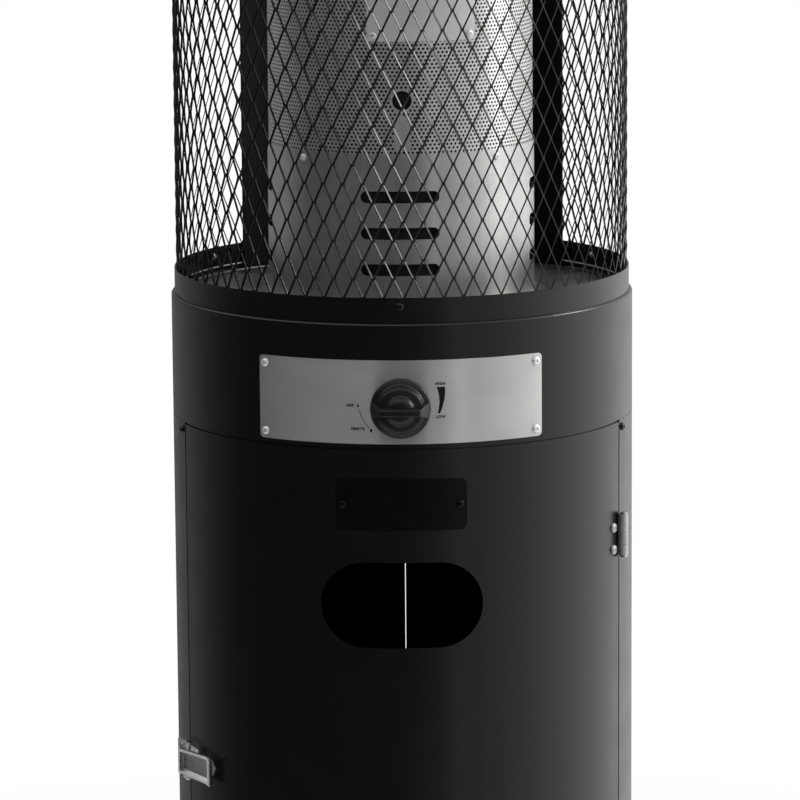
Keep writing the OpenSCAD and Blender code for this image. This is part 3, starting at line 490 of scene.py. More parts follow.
class Shader:
    """A Principled material under construction. A pattern's range is cut at both ends by narrow."""

    narrow: float = 0.3
    arc_r: float = 0.23

    def __init__(self, name: str) -> None:
        """Starts a material with a Principled shader and Object coordinates.

        Args:
            name: the material's name.
        """
        self.material = bpy.data.materials.new(name)
        self.material.use_nodes = True
        self.tree = self.material.node_tree
        self.base = next(n for n in self.tree.nodes if n.type == "BSDF_PRINCIPLED")
        self.place = self.add("ShaderNodeTexCoord").outputs["Object"]

    def add(self, kind: str, **settings: object) -> bpy.types.Node:
        """Adds one node.

        Args:
            kind: the node's type.
            settings: values of the node's properties.

        Returns:
            The node.
        """
        node = self.tree.nodes.new(kind)
        for key, value in settings.items():
            setattr(node, key, value)
        return node

    def link(self, start: Socket, end: Socket) -> None:
        """Links two sockets."""
        self.tree.links.new(start, end)

    def feed(self, start: Socket, socket: str) -> None:
        """Links a value to one of the Principled shader's sockets."""
        self.link(start, self.base.inputs[socket])

    def set(self, **values: object) -> None:
        """Sets constants on the Principled shader's sockets, with _ for a space."""
        for key, value in values.items():
            self.base.inputs[key.replace("_", " ")].default_value = value

    def reckon(self, operation: str, *values: Socket | float) -> Socket:
        """Adds one step of arithmetic.

        Args:
            operation: the Math node's operation.
            values: sockets or numbers to work on.

        Returns:
            The result.
        """
        node = self.add("ShaderNodeMath", operation=operation)
        for socket, value in zip(node.inputs, values):
            if isinstance(value, float):
                socket.default_value = value
            else:
                self.link(value, socket)
        return node.outputs[0]

    def rescale(self, value: Socket, span: Pair, target: Pair, **settings: object) -> Socket:
        """Maps a value from one range to another.

        Args:
            value: the value.
            span: the range that it comes from.
            target: the range that it goes to.
            settings: values of the node's properties.

        Returns:
            The mapped value.
        """
        node = self.add("ShaderNodeMapRange", **settings)
        for key, number in zip(("From Min", "From Max", "To Min", "To Max"), span + target):
            node.inputs[key].default_value = number
        self.link(value, node.inputs["Value"])
        return node.outputs["Result"]

    def ramp(self, value: Socket, stops: list[tuple[float, Triple]]) -> Socket:
        """Runs through colours along a value.

        Args:
            value: a value between 0 and 1.
            stops: the place and the colour of each stop, in order.

        Returns:
            The colour.
        """
        node = self.add("ShaderNodeValToRGB")
        marks = node.color_ramp.elements
        marks.remove(marks[1])
        for count, (where, colour) in enumerate(stops):
            mark = marks[0] if count == 0 else marks.new(where)
            mark.position = where
            mark.color = (*colour, 1.0)
        self.link(value, node.inputs["Fac"])
        return node.outputs["Color"]

    def noise(self, scale: float, detail: float, stretch: Triple = (1.0, 1.0, 1.0),
              place: Socket | None = None) -> Socket:
        """Adds a noise pattern.

        Args:
            scale: features per metre.
            detail: octaves of the noise.
            stretch: factors on the three coordinates.
            place: coordinates other than the Object ones.

        Returns:
            The pattern, between 0 and 1.
        """
        mapping = self.add("ShaderNodeMapping")
        mapping.inputs["Scale"].default_value = stretch
        self.link(place or self.place, mapping.inputs["Vector"])
        pattern = self.add("ShaderNodeTexNoise")
        pattern.inputs["Scale"].default_value = scale
        pattern.inputs["Detail"].default_value = detail
        self.link(mapping.outputs["Vector"], pattern.inputs["Vector"])
        return pattern.outputs["Fac"]

    def arc(self) -> tuple[Socket, Socket]:
        """Measures round the upright axis.

        Returns:
            The arc from the front, at the radius arc_r, and the height.
        """
        split = self.add("ShaderNodeSeparateXYZ")
        self.link(self.place, split.inputs[0])
        front = self.reckon("MULTIPLY", split.outputs["Y"], -1.0)
        turn = self.reckon("ARCTAN2", split.outputs["X"], front)
        return self.reckon("MULTIPLY", turn, self.arc_r), split.outputs["Z"]

    def round_place(self) -> Socket:
        """Adds coordinates that run round the upright axis.

        Returns:
            Arc, nothing and height as a vector.
        """
        joined = self.add("ShaderNodeCombineXYZ")
        for value, axis in zip(self.arc(), "XZ"):
            self.link(value, joined.inputs[axis])
        return joined.outputs[0]

    def gloss(self, pattern: Socket, low: float, high: float) -> None:
        """Runs the roughness between two values along a pattern."""
        self.feed(self.rescale(pattern, (self.narrow, 1.0 - self.narrow), (low, high)), "Roughness")

    def tint(self, pattern: Socket, low: Triple, high: Triple) -> None:
        """Runs the base colour between two colours along a pattern."""
        self.feed(self.ramp(pattern, [(self.narrow, low), (1.0 - self.narrow, high)]), "Base Color")

    def bump(self, pattern: Socket, depth: float, strength: float) -> None:
        """Raises the surface by a pattern.

        Args:
            pattern: the height, between 0 and 1.
            depth: the height's range in metres.
            strength: how much of it is felt.
        """
        raised = self.add("ShaderNodeBump")
        raised.inputs["Strength"].default_value = strength
        raised.inputs["Distance"].default_value = depth
        self.link(pattern, raised.inputs["Height"])
        self.feed(raised.outputs["Normal"], "Normal")


@dataclass(frozen=True)
class Finish:
    """Cloudy colour, uneven gloss and a fine grain. Each of the three noises has a scale and a detail."""

    name: str
    dark: Triple
    light: Triple
    rough: Pair
    specular: float = 0.5
    metal: float = 0.0
    cloud: Pair = (70.0, 4.0)
    smear: Pair = (180.0, 3.0)
    grain: Pair = (1400.0, 2.0)
    depth: float = 0.02 * MM
    relief: float = 0.4
    stretch: Triple = (1.0, 1.0, 1.0)

    def make(self) -> Material:
        """Builds the material.

        Returns:
            The material.
        """
        shader = Shader(self.name)
        shader.set(Specular_IOR_Level=self.specular, Metallic=self.metal)
        shader.tint(shader.noise(*self.cloud), self.dark, self.light)
        shader.gloss(shader.noise(*self.smear, self.stretch), *self.rough)
        shader.bump(shader.noise(*self.grain, self.stretch), self.depth, self.relief)
        return shader.material


@dataclass(frozen=True)
class Moulded(Finish):
    """Plastic, rubber, ceramic or ink: a dull body with a fine moulded grain."""

    specular: float = 0.3


@dataclass(frozen=True)
class PowderCoat(Finish):
    """Satin black powder coat with a fine peel and faint cloudy gloss."""

    dark: Triple = (0.0006, 0.0006, 0.0007)
    light: Triple = (0.0012, 0.0012, 0.0013)
    rough: Pair = (0.26, 0.33)
    cloud: Pair = (9.0, 4.0)
    smear: Pair = (23.0, 5.0)
    grain: Pair = (700.0, 2.0)
    relief: float = 0.35


@dataclass(frozen=True)
class PlatedSteel(Finish):
    """Bright zinc plate with soft clouding and small dents of handling."""

    dark: Triple = (0.58, 0.58, 0.575)
    light: Triple = (0.70, 0.70, 0.69)
    rough: Pair = (0.22, 0.32)
    metal: float = 1.0
    cloud: Pair = (110.0, 3.0)
    smear: Pair = (160.0, 3.0)
    grain: Pair = (260.0, 1.0)
    depth: float = 0.03 * MM
    relief: float = 0.06


@dataclass(frozen=True)
class Brass(Finish):
    """Machined brass with turning marks and a little tarnish."""

    dark: Triple = (0.42, 0.27, 0.10)
    light: Triple = (0.72, 0.52, 0.23)
    rough: Pair = (0.22, 0.40)
    metal: float = 1.0
    cloud: Pair = (90.0, 5.0)
    smear: Pair = (700.0, 2.0)
    grain: Pair = (900.0, 2.0)
    relief: float = 0.3
    stretch: Triple = (1.0, 0.1, 1.0)


@dataclass(frozen=True)
class BrushedSteel:
    """Stainless sheet with brush lines along or across the arc."""

    name: str
    dark: Triple = (0.60, 0.60, 0.585)
    light: Triple = (0.72, 0.72, 0.70)
    rough: Pair = (0.24, 0.34)
    stretch: Triple = (0.03, 1.0, 1.0)
    lines: float = 900.0
    relief: float = 0.02
    streak: float = 0.9
    metal: float = 1.0
    cloud: tuple[float, float, Triple] = (14.0, 5.0, (0.6, 1.0, 1.6))
    depth: float = 0.01 * MM

    def make(self) -> Material:
        """Builds the material, with reflections drawn out up and down as brushing round the arc does.

        Returns:
            The material.
        """
        shader = Shader(self.name)
        shader.set(Metallic=self.metal, Anisotropic=self.streak, Anisotropic_Rotation=0.25)
        along = shader.add("ShaderNodeTangent", direction_type="RADIAL", axis="Z")
        shader.feed(along.outputs["Tangent"], "Tangent")
        place = shader.round_place()
        lines = shader.noise(self.lines, 4.0, self.stretch, place)
        shader.tint(shader.noise(*self.cloud, place), self.dark, self.light)
        shader.gloss(lines, *self.rough)
        shader.bump(lines, self.depth, self.relief)
        return shader.material


class Palette:
    """The finishes of this heater, each made once."""

    def __init__(self) -> None:
        """Builds every material."""
        self.paint = PowderCoat("black_powder_coat").make()
        self.panel = BrushedSteel("brushed_panel_steel", rough=(0.36, 0.44), lines=1300.0,
                                  relief=0.05).make()
        self.sheet = BrushedSteel("satin_sheet_steel", (0.53, 0.53, 0.515), (0.67, 0.67, 0.65), (0.26, 0.36),
                                  (1.0, 1.0, 0.04), 700.0, 0.01, 0.7, 0.95).make()
        self.screen = BrushedSteel("pierced_screen_steel", (0.66, 0.65, 0.63), (0.80, 0.79, 0.77),
                                   (0.30, 0.40), streak=0.7, metal=0.92).make()
        # Steel darker than the other sheet steel, used for the deck plate inside the guard.
        self.dull = BrushedSteel("dark_deck_steel", (0.15, 0.145, 0.135), (0.23, 0.22, 0.205), (0.38, 0.50),
                                 streak=0.3).make()
        self.bright = BrushedSteel("bright_plate_steel", (0.74, 0.74, 0.725), (0.82, 0.82, 0.80),
                                   (0.52, 0.60), relief=0.05, metal=0.82).make()
        # Painted shade: near-black sheet inside the emitter that stands in for the shade within the tube.
        self.inner_shade = Moulded("shade_black_sheet", (0.004, 0.004, 0.004), (0.011, 0.010, 0.009),
                                (0.55, 0.75), 0.1, grain=(900.0, 2.0)).make()
        self.plate = PlatedSteel("zinc_plate").make()
        self.zinc = PlatedSteel("white_zinc_plate", (0.74, 0.74, 0.73), (0.84, 0.84, 0.83), (0.36, 0.46),
                                metal=0.65).make()
        self.satin = PlatedSteel("satin_zinc_plate", (0.34, 0.34, 0.335), (0.44, 0.44, 0.43), (0.42, 0.52),
                                 metal=0.6).make()
        self.plastic = Moulded("black_moulded_plastic", (0.0026, 0.0026, 0.0029), (0.0048, 0.0048, 0.0052),
                               (0.34, 0.44), 0.4, depth=0.008 * MM).make()
        self.mesh = PowderCoat("mesh_black_coat", rough=(0.20, 0.27), specular=0.22).make()
        self.matt = PowderCoat("dull_black_coat", rough=(0.5, 0.6), specular=0.12).make()
        self.badge = Moulded("bare_black_plate", (0.0015, 0.0015, 0.0016), (0.0026, 0.0026, 0.0028),
                             (0.22, 0.34), 0.12, grain=(900.0, 2.0)).make()
        self.rubber = Moulded("black_rubber", (0.010, 0.010, 0.010), (0.019, 0.018, 0.018), (0.60, 0.78),
                              0.25, grain=(800.0, 2.0), depth=0.06 * MM).make()
        self.ceramic = Moulded("white_ceramic", (0.70, 0.69, 0.64), (0.82, 0.81, 0.77), (0.18, 0.30),
                               0.5).make()
        self.ink = Moulded("black_print", (0.004, 0.004, 0.004), (0.009, 0.009, 0.009), (0.45, 0.6),
                           0.1).make()
        self.brass = Brass("machined_brass").make()

    def for_slot(self, slot: str) -> Material:
        """Returns the finish of one of the record's material slots."""
        return {
            "black_paint": self.paint, "black_plastic": self.plastic, "black_rubber": self.rubber,
            "plated_steel": self.plate, "brushed_panel": self.panel, "sheet_steel": self.sheet,
            "brass": self.brass, "white_ceramic": self.ceramic,
        }[slot]


@dataclass
class Assembly:
    """Pieces that are built and dressed together."""

    palette: Palette

    def build(self) -> None:
        """Builds the pieces and delivers them."""
        raise NotImplementedError

    @staticmethod
    def dress(piece: Thing, finish: Material) -> None:
        """Gives a piece one material."""
        piece.data.materials.clear()
        piece.data.materials.append(finish)

    def deliver(self, piece: Thing, name: str, finish: Material, slot: str, *nodes: str,
                body: Body = Body.FRAME) -> None:
        """Names a finished piece, dresses it and puts it on its body.

        Args:
            piece: the finished object.
            name: its name.
            finish: its material.
            slot: the record's slot that it belongs to; not used.
            nodes: CAD nodes that it stands for.
            body: the body that it moves with.
        """
        piece.name = name
        piece.data.name = name
        self.dress(piece, finish)
        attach(piece, body.value)
        if nodes:
            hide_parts(*nodes)
        LOG.info("%s on %s, %d faces", name, body.value, len(piece.data.polygons))


class CadDress(Assembly):
    """The CAD nodes that stay in view, each in its slot's finish or in one of its own."""

    own: dict[str, str] = {
        "name_plate": "badge", "emitter_plate": "bright", "guard_posts": "matt", "deck_plate": "dull",
        "hinge_door_leaves": "satin", "hinge_frame_leaves": "satin"}

    def build(self) -> None:
        """Assigns one material to each node."""
        slots = {part["node"]: part["material_slot"] for part in frame["record"]["subparts"]}
        for name, node in frame["nodes"].items():
            own = self.own.get(name)
            self.dress(node, getattr(self.palette, own) if own else self.palette.for_slot(slots[name]))
        LOG.info("%d CAD nodes dressed", len(frame["nodes"]))


@dataclass
class MeshGuard(Assembly):
    """Raised diamond mesh: zigzag strands in six panels between the guard's rings."""

    strand_wide: float = 2.2 * MM
    strand_thick: float = 0.8 * MM
    crown: float = 0.34 * MM
    flat: float = 1.1 * MM
    tilt: float = 24.0
    bond: float = 2.2 * MM
    strands: int = 146
    phase: float = -1.1
    half_rows: int = 23
    first_drop: float = 10.7 * MM
    panels: tuple[str, ...] = ("front", "front_right", "rear_right", "rear", "rear_left", "front_left")

    @cached_property
    def lean(self) -> Pair:
        """Half of a strand's tilted width, along the skin and out from it."""
        tilt = math.radians(self.tilt)
        return self.strand_wide / 2 * math.cos(tilt), self.strand_wide / 2 * math.sin(tilt)

    @cached_property
    def radius(self) -> float:
        """Radius of the mesh's inner face."""
        return reach_of("guard_mesh_front") - self.strand_thick - self.lean[1]

    def path(self, first_right: bool) -> list[Triple]:
        """Works out a strand's zigzag, bond by bond, as if the guard were unrolled.

        Args:
            first_right: whether its lowest bond is on its right.

        Returns:
            The corners of the strand's middle line, from its foot to its top.
        """
        foot, top = (corner.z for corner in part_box("guard_mesh_front"))
        half, depth = self.lean
        pitch = 2 * math.pi * self.radius / self.strands
        rise = (top - foot) / self.half_rows
        path = []
        for bond in range(self.half_rows + 2):
            right = (bond % 2 == 0) == first_right
            x = pitch - half if right else half
            y = -depth if right else depth
            middle = foot - self.first_drop + bond * rise
            for z in (middle - self.bond / 2, middle + self.bond / 2):
                path.append((x, y - self.radius, z))
        axes = list(zip(*path))
        ends = [tuple(float(np.interp(z, axes[2], axis)) for axis in axes) for z in (foot, top)]
        return ends[:1] + [point for point in path if foot < point[2] < top] + ends[1:]

    def strand(self, path: list[Triple]) -> Thing:
        """Extrudes a strand's section along its path and rolls it onto the guard's skin.

        Args:
            path: the strand's middle line.

        Returns:
            The strand at the front.
        """
        side = self.strand_wide / 2
        edge = self.strand_thick - self.crown
        made = Bench.patch("strand", [
            (-side, 0.0), (side, 0.0), (side, -edge), (self.flat / 2, -self.strand_thick),
            (-self.flat / 2, -self.strand_thick), (-side, -edge)])
        made.data.transform(Matrix.Translation(path[0]) @ turned(self.tilt))
        Bench.edit(made, "FACE")
        Bench.follow(path)
        Bench.close()
        Bench.roll(made, self.radius)
        return made

    def build(self) -> None:
        """Copies the two kinds of strand round the guard and joins them into panels."""
        masters = [self.strand(self.path(first_right)) for first_right in (False, True)]
        count = len(self.panels)
        edges = [round(self.strands * panel / count) for panel in range(count + 1)]
        for name, first, last in zip(self.panels, edges, edges[1:]):
            copies = []
            for place in range(first, last):
                turn = self.phase - 180.0 / count + 360.0 / self.strands * place
                copies.append(Bench.copy(masters[place % 2], turned(turn)))
            self.deliver(Bench.join(copies), "mesh_strands_" + name, self.palette.mesh, "black_paint",
                         "guard_mesh_" + name)
        for master in masters:
            Bench.drop(master)


@dataclass
class EmitterScreen(Assembly):
    """Perforated steel tube that glows, with a round sight hole and a plain patch under it."""

    holes_round: int = 192
    hole: float = 2.6 * MM
    hexagon_share: float = 0.952
    thick: float = 0.8 * MM
    margin: float = 6.0 * MM
    rim: float = 2.0 * MM
    rim_proud: float = 0.05 * MM
    patch_size: Pair = (16.0 * MM, 33.0 * MM)
    patch_corner: float = 2.0 * MM
    patch_thick: float = 0.5 * MM
    patch_sunk: float = 0.1 * MM
    patch_drop: float = 32.0 * MM
    sight_d: float = 19.0 * MM
    sight_rise: float = 52.0 * MM
    sight_turn: float = 1.15
    sight_keep: float = 0.1
    liner_gap: float = 3.0 * MM
    liner_in: float = 1.0 * MM

    @cached_property
    def radius(self) -> float:
        """Outer radius of the tube."""
        return reach_of("emitter_screen")

    @cached_property
    def pitch(self) -> float:
        """Distance between neighbouring holes."""
        return 2 * math.pi * self.radius / self.holes_round

    @cached_property
    def sight_height(self) -> float:
        """Height of the sight hole's middle."""
        return top_of("air_sleeve") + self.sight_rise

    def cell(self) -> Thing:
        """Insets a hexagon and opens its middle.

        Returns:
            Two neighbouring cells, one row each.
        """
        pitch = self.pitch
        made = Bench.disc("cell", 6, pitch / math.sqrt(3))
        Bench.edit(made, "FACE")
        bpy.ops.mesh.inset(thickness=pitch / 2 - self.hole / 2 * self.hexagon_share)
        bpy.ops.mesh.delete(type="FACE")
        Bench.clear()
        above = Bench.copy(made, Matrix.Translation((pitch / 2, pitch * math.sqrt(3) / 2, 0.0)))
        return Bench.join([made, above])

    def sector(self, turn: float) -> Thing:
        """Repeats the cells over a quarter of the tube, opens the sight hole at the front and rolls it up.

        Args:
            turn: degrees from the front to the quarter's middle.

        Returns:
            A quarter of the screen as a sheet with thickness.
        """
        pitch = self.pitch
        row = pitch * math.sqrt(3) / 2
        wide = self.holes_round // 4
        foot = top_of("air_sleeve") - self.margin
        pairs = int((top_of("emitter_screen") - foot) / row / 2)
        made = self.cell()
        for count, step in ((wide, (pitch, 0.0, 0.0)), (pairs, (0.0, 2 * row, 0.0))):
            Bench.modify(made, "ARRAY", count=count, use_relative_offset=False, use_constant_offset=True,
                         constant_offset_displace=step, use_merge_vertices=True, merge_threshold=0.02 * MM)
        made.data.transform(Matrix.Translation((-pitch * wide / 2, 0.0, 0.0)))
        if turn == 0.0:
            aside = self.radius * math.radians(self.sight_turn)
            middle = Vector((aside, self.sight_height - foot, 0.0))
            keep_out = self.sight_d / 2 + pitch * self.sight_keep
            Bench.edit(made)
            Bench.choose(made, "VERT", lambda v: (v.co - middle).length < keep_out)
            bpy.ops.mesh.delete(type="VERT")
            Bench.clear()
        Bench.wrap(made, self.radius, foot, turn)
        Bench.modify(made, "SOLIDIFY", thickness=self.thick, offset=-1.0)
        return made

    def collar(self) -> Thing:
        """Turns the flat rim round the sight hole and rolls it onto the tube.

        Returns:
            The rim.
        """
        inner = self.sight_d / 2
        ring = Bench.hoop("sight_rim", (inner, inner + self.rim), (-self.thick, self.rim_proud), 40)
        Bench.wrap(ring, self.radius, self.sight_height, self.sight_turn)
        Bench.smooth(ring)
        return ring

    def plain_patch(self) -> Thing:
        """Lays the small unpierced plate under the sight hole.

        Returns:
            The plate.
        """
        made = Bench.plate("plain_patch", self.patch_size, self.patch_corner, 3, self.patch_thick)
        height = self.sight_height - self.patch_drop
        Bench.wrap(made, self.radius, height, self.sight_turn, -self.patch_sunk)
        return made

    def build(self) -> None:
        """Makes the four quarters, a dark sheet inside them that stands in for the shade within the tube
        (painted shade), the rim and the patch.
        """
        steel = self.palette.screen
        for place, name in enumerate(("front", "right", "rear", "left")):
            nodes = ("emitter_screen",) if place == 0 else ()
            self.deliver(self.sector(90.0 * place), "emitter_holes_" + name, steel, "sheet_steel", *nodes)
        # Painted shade: a near-black sheet inside the tube, so that the holes show dark instead of the white
        # surroundings.
        outer = self.radius - self.liner_gap
        heights = (top_of("deck_plate") + self.liner_in, top_of("emitter_screen") - self.liner_in)
        shade_sheet = Bench.hoop("liner", (outer - self.thick, outer), heights, 96)
        Bench.smooth(shade_sheet)
        self.deliver(shade_sheet, "emitter_inner_gauze", self.palette.inner_shade, "sheet_steel")
        self.deliver(self.collar(), "sight_hole_rim", steel, "sheet_steel")
        self.deliver(self.plain_patch(), "emitter_plain_patch", steel, "sheet_steel")


@dataclass
class RingShadeLining(Assembly):
    """Matt black sheet standing in for the shade inside the guard's ring (painted shade), with a bright bead
    at its foot (painted highlight).
    """

    wall: float = 1.5 * MM
    thick: float = 0.4 * MM
    top_gap: float = 0.3 * MM
    bead_rise: float = 6.5 * MM
    bead: float = 1.3 * MM

    def hoop(self, name: str, outer: float, thick: float, heights: Pair) -> Thing:
        """Turns a hoop with softened edges.

        Args:
            name: its name.
            outer: its outer radius.
            thick: its thickness.
            heights: heights of its lower and upper edge.

        Returns:
            The hoop in its place.
        """
        made = Bench.hoop(name, (outer - thick, outer), heights, 120)
        Bench.soften(made, thick / 4)
        return made

    def build(self) -> None:
        """Makes the painted-shade lining from the deck to the ring's top, and the bright bead on it, a
        painted highlight.
        """
        outer = reach_of("guard_ring") - self.wall
        foot = top_of("deck_plate")
        # Painted shade: a matt black sheet over the ring's inner face, which is painted the same as its
        # outside.
        lining = self.hoop("ring_lining", outer, self.thick, (foot, top_of("guard_ring") - self.top_gap))
        self.deliver(lining, "ring_lining", self.palette.matt, "black_paint")
        # Painted highlight: the bead's bright zinc finish stands in for the thin line of light at the ring's
        # foot.
        rise = foot + self.bead_rise
        bead = self.hoop("ring_foot_bead", outer - self.thick, self.bead, (rise, rise + self.bead))
        self.deliver(bead, "ring_foot_bead", self.palette.zinc, "sheet_steel")


@dataclass
class RearSeam(Assembly):
    """Folded edge of the right side panel, which narrows the seam at the back to a thin line of light."""

    wide: float = 0.95 * MM
    deep: float = 1.0 * MM
    lap: float = 0.1 * MM

    def build(self) -> None:
        """Draws the fold's section at the panel's edge and extrudes it to the panel's top."""
        low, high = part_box("cabinet_side_right")
        near, far = low.x - self.wide, low.x + self.lap
        back = high.y - self.lap
        front = back - self.deep
        fold = Bench.patch("rear_seam_fold", [(near, front), (far, front), (far, back), (near, back)])
        fold.data.transform(Matrix.Translation((0.0, 0.0, low.z)))
        Bench.edit(fold, "FACE")
        Bench.extrude((0.0, 0.0, high.z - low.z))
        Bench.close()
        Bench.soften(fold, self.deep / 5)
        self.deliver(fold, "rear_seam_fold", self.palette.matt, "black_paint")


@dataclass
class HousingShell(Assembly):
    """Control housing with the small round edge that the wall has where the guard's ring sits on it."""

    edge_r: float = 2.5 * MM

    def build(self) -> None:
        """Copies the solid's shell and draws its upper edge in to the wall."""
        shell = Bench.copy(frame["nodes"]["control_housing"], Matrix())
        wall = reach_of("cabinet_side_left")
        bend = top_of("control_housing") - self.edge_r
        for vertex in shell.data.vertices:
            place = vertex.co
            reach = math.hypot(place.x, place.y)
            up = min(max(place.z - bend, 0.0), self.edge_r)
            limit = wall - self.edge_r + math.sqrt(self.edge_r ** 2 - up ** 2)
            if reach > limit:
                place.x *= limit / reach
                place.y *= limit / reach
        self.deliver(shell, "housing_shell", self.palette.paint, "black_paint", "control_housing")


@dataclass
class ControlKnob(Assembly):
    """Round knob: a skirt, two stepped shoulders and a waisted grip across them.

    The profile holds shares of the knob's radius and height, from the middle of its back to its crown.
    """

    grip_long: float = 40.0 * MM
    grip_wide: float = 9.0 * MM
    grip_foot: float = 6.0 * MM
    grip_in: float = 1.2 * MM
    grip_edge: float = 1.1 * MM
    grip_taper: Pair = (0.96, 0.72)
    flare: float = 1.9
    flare_drop: float = 19.0 * MM
    profile: tuple[Pair, ...] = (
        (0.0, 0.0), (0.97, 0.0), (1.0, 0.02), (1.0, 0.13), (0.985, 0.175), (0.95, 0.20), (0.86, 0.215),
        (0.815, 0.24), (0.79, 0.29), (0.775, 0.42), (0.76, 0.47), (0.72, 0.505), (0.66, 0.52), (0.53, 0.535),
        (0.49, 0.55), (0.465, 0.585), (0.44, 0.64), (0.40, 0.685), (0.30, 0.72), (0.15, 0.74), (0.0, 0.745))

    def grip(self, radius: float, high: float) -> Thing:
        """Extrudes a bar's ends outwards, flares and lowers them, and rounds the edges.

        Args:
            radius: the skirt's radius.
            high: the knob's height.

        Returns:
            The grip, along X.
        """
        foot = self.grip_foot
        half = self.grip_long / 2
        end = radius - self.grip_in
        size = (self.grip_long, self.grip_wide, high - foot)
        made = Bench.block("grip", size, (0.0, 0.0, (high + foot) / 2))
        Bench.edit(made, "FACE")
        for side in (-1, 1):
            Bench.choose(made, "FACE", lambda f: f.normal.x * side > 0.9)
            Bench.extrude((side * (end - half), 0.0, 0.0))
            bpy.ops.transform.resize(value=(1.0, self.flare, 1.0), center_override=(side * end, 0.0, foot))
            Bench.choose(made, "VERT", lambda v: v.co.x * side > end - MM and v.co.z > high - MM)
            bpy.ops.transform.translate(value=(0.0, 0.0, -self.flare_drop))
        Bench.choose(made, "VERT", lambda v: abs(v.co.x) < half + MM and v.co.z > high - MM)
        bpy.ops.transform.resize(value=(*self.grip_taper, 1.0), center_override=(0.0, 0.0, high))
        Bench.clear()
        Bench.soften(made, self.grip_edge, 3, 20.0)
        return made

    def build(self) -> None:
        """Turns the knob's body, adds the grip and sets it on the spindle."""
        low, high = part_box("control_knob")
        radius = (high.x - low.x) / 2
        tall = high.y - low.y
        body = Bench.lathe("knob", [(share * radius, height * tall) for share, height in self.profile], 72)
        Bench.smooth(body, 50.0)
        piece = Bench.join([body, self.grip(radius, tall)])
        piece.data.transform(Bench.skin_place(0.0, -high.y, (low.z + high.z) / 2))
        self.deliver(piece, "knob_moulding", self.palette.plastic, "black_plastic", "control_knob",
                     body=Body.KNOB)


@dataclass
class DialPrint(Assembly):
    """Words and marks printed on the panel round the knob.

    Places and sizes of the marks are in millimetres, from the dial's middle.
    """

    proud: float = 0.12 * MM
    thick: float = 0.06 * MM
    weight: float = 0.05
    spacing: float = 1.2
    aside: float = 2.4
    words: tuple[tuple[str, float, float, float], ...] = (
        ("OFF", -50.9, -3.4, 6.9), ("IGNITE", -43.6, -25.9, 12.7), ("HIGH", 35.9, 17.6, 9.5),
        ("LOW", 36.1, -14.5, 9.0))
    off_dot: Pair = (-43.1, -3.5)
    off_size: Pair = (2.2, 2.2)
    arrow: Pair = (-30.6, -27.3)
    arrow_size: Pair = (3.0, 4.2)
    sweep_middle: Pair = (0.0, -4.5)
    sweep_ends: tuple[Pair, Pair] = ((-42.1, -7.1), (-32.2, -25.1))
    sweep_half: float = 0.28
    sweep_steps: int = 16
    wedge: tuple[Pair, ...] = (
        (40.4, 14.5), (40.55, 9.6), (40.0, 4.0), (38.5, -2.5), (36.9, -7.4), (35.3, -11.0),
        (33.3, -11.0), (34.2, -6.6), (35.0, -0.1), (34.7, 5.5), (33.7, 10.3), (32.1, 14.5))

    def word(self, text: str, x: float, z: float, wide: float) -> Thing:
        """Sets one word as flat bold letters.

        Args:
            text: the word.
            x: its middle along the arc.
            z: its middle in height.
            wide: its width.

        Returns:
            The letters as a mesh in XY.
        """
        Bench.clear()
        bpy.ops.object.text_add()
        letters = bpy.context.object.data
        letters.body = text
        letters.align_x = "CENTER"
        letters.align_y = "CENTER"
        letters.offset = self.weight
        letters.space_character = self.spacing
        bpy.ops.object.convert(target="MESH")
        made = bpy.context.object
        across = [vertex.co.x for vertex in made.data.vertices]
        fit = wide / (max(across) - min(across))
        made.data.transform(Matrix.Translation((x, z, 0.0)) @ Matrix.Scale(fit, 4))
        return made

    def dot(self, place: Pair, size: Pair, corners: int) -> Thing:
        """Draws a filled dot or a diamond.

        Args:
            place: its middle.
            size: its width and height.
            corners: number of its corners.

        Returns:
            The face in XY.
        """
        points = []
        for corner in range(corners):
            turn = 2 * math.pi * corner / corners
            points.append((place[0] + size[0] / 2 * math.sin(turn), place[1] + size[1] / 2 * math.cos(turn)))
        return Bench.patch("dot", points)

    def sweep(self) -> Thing:
        """Draws the thin arc from OFF to IGNITE as a narrow band.

        Returns:
            The face in XY.
        """
        x0, z0 = self.sweep_middle
        turns = [math.atan2(z - z0, x - x0) % (2 * math.pi) for x, z in self.sweep_ends]
        reaches = [math.hypot(z - z0, x - x0) for x, z in self.sweep_ends]
        outer, inner = [], []
        for step in range(self.sweep_steps + 1):
            turn, reach = (np.interp(step, (0, self.sweep_steps), ends) for ends in (turns, reaches))
            for line, radius in ((outer, reach + self.sweep_half), (inner, reach - self.sweep_half)):
                line.append((x0 + radius * math.cos(turn), z0 + radius * math.sin(turn)))
        return Bench.patch("sweep", outer + inner[::-1])

    def build(self) -> None:
        """Prints the dial on the panel's face."""
        low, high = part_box("control_panel")
        marks = [self.word(*word) for word in self.words]
        marks.append(self.dot(self.off_dot, self.off_size, 20))
        marks.append(self.dot(self.arrow, self.arrow_size, 4))
        marks.append(self.sweep())
        marks.append(Bench.patch("wedge", self.wedge))
        piece = Bench.join(marks)
        piece.data.transform(Matrix.Scale(MM, 4) @ Matrix.Translation((self.aside, 0.0, 0.0)))
        Bench.modify(piece, "SOLIDIFY", thickness=self.thick, offset=1.0)
        Bench.wrap(piece, reach_of("control_panel"), (low.z + high.z) / 2, proud=self.proud)
        self.deliver(piece, "dial_print", self.palette.ink, "black_plastic")


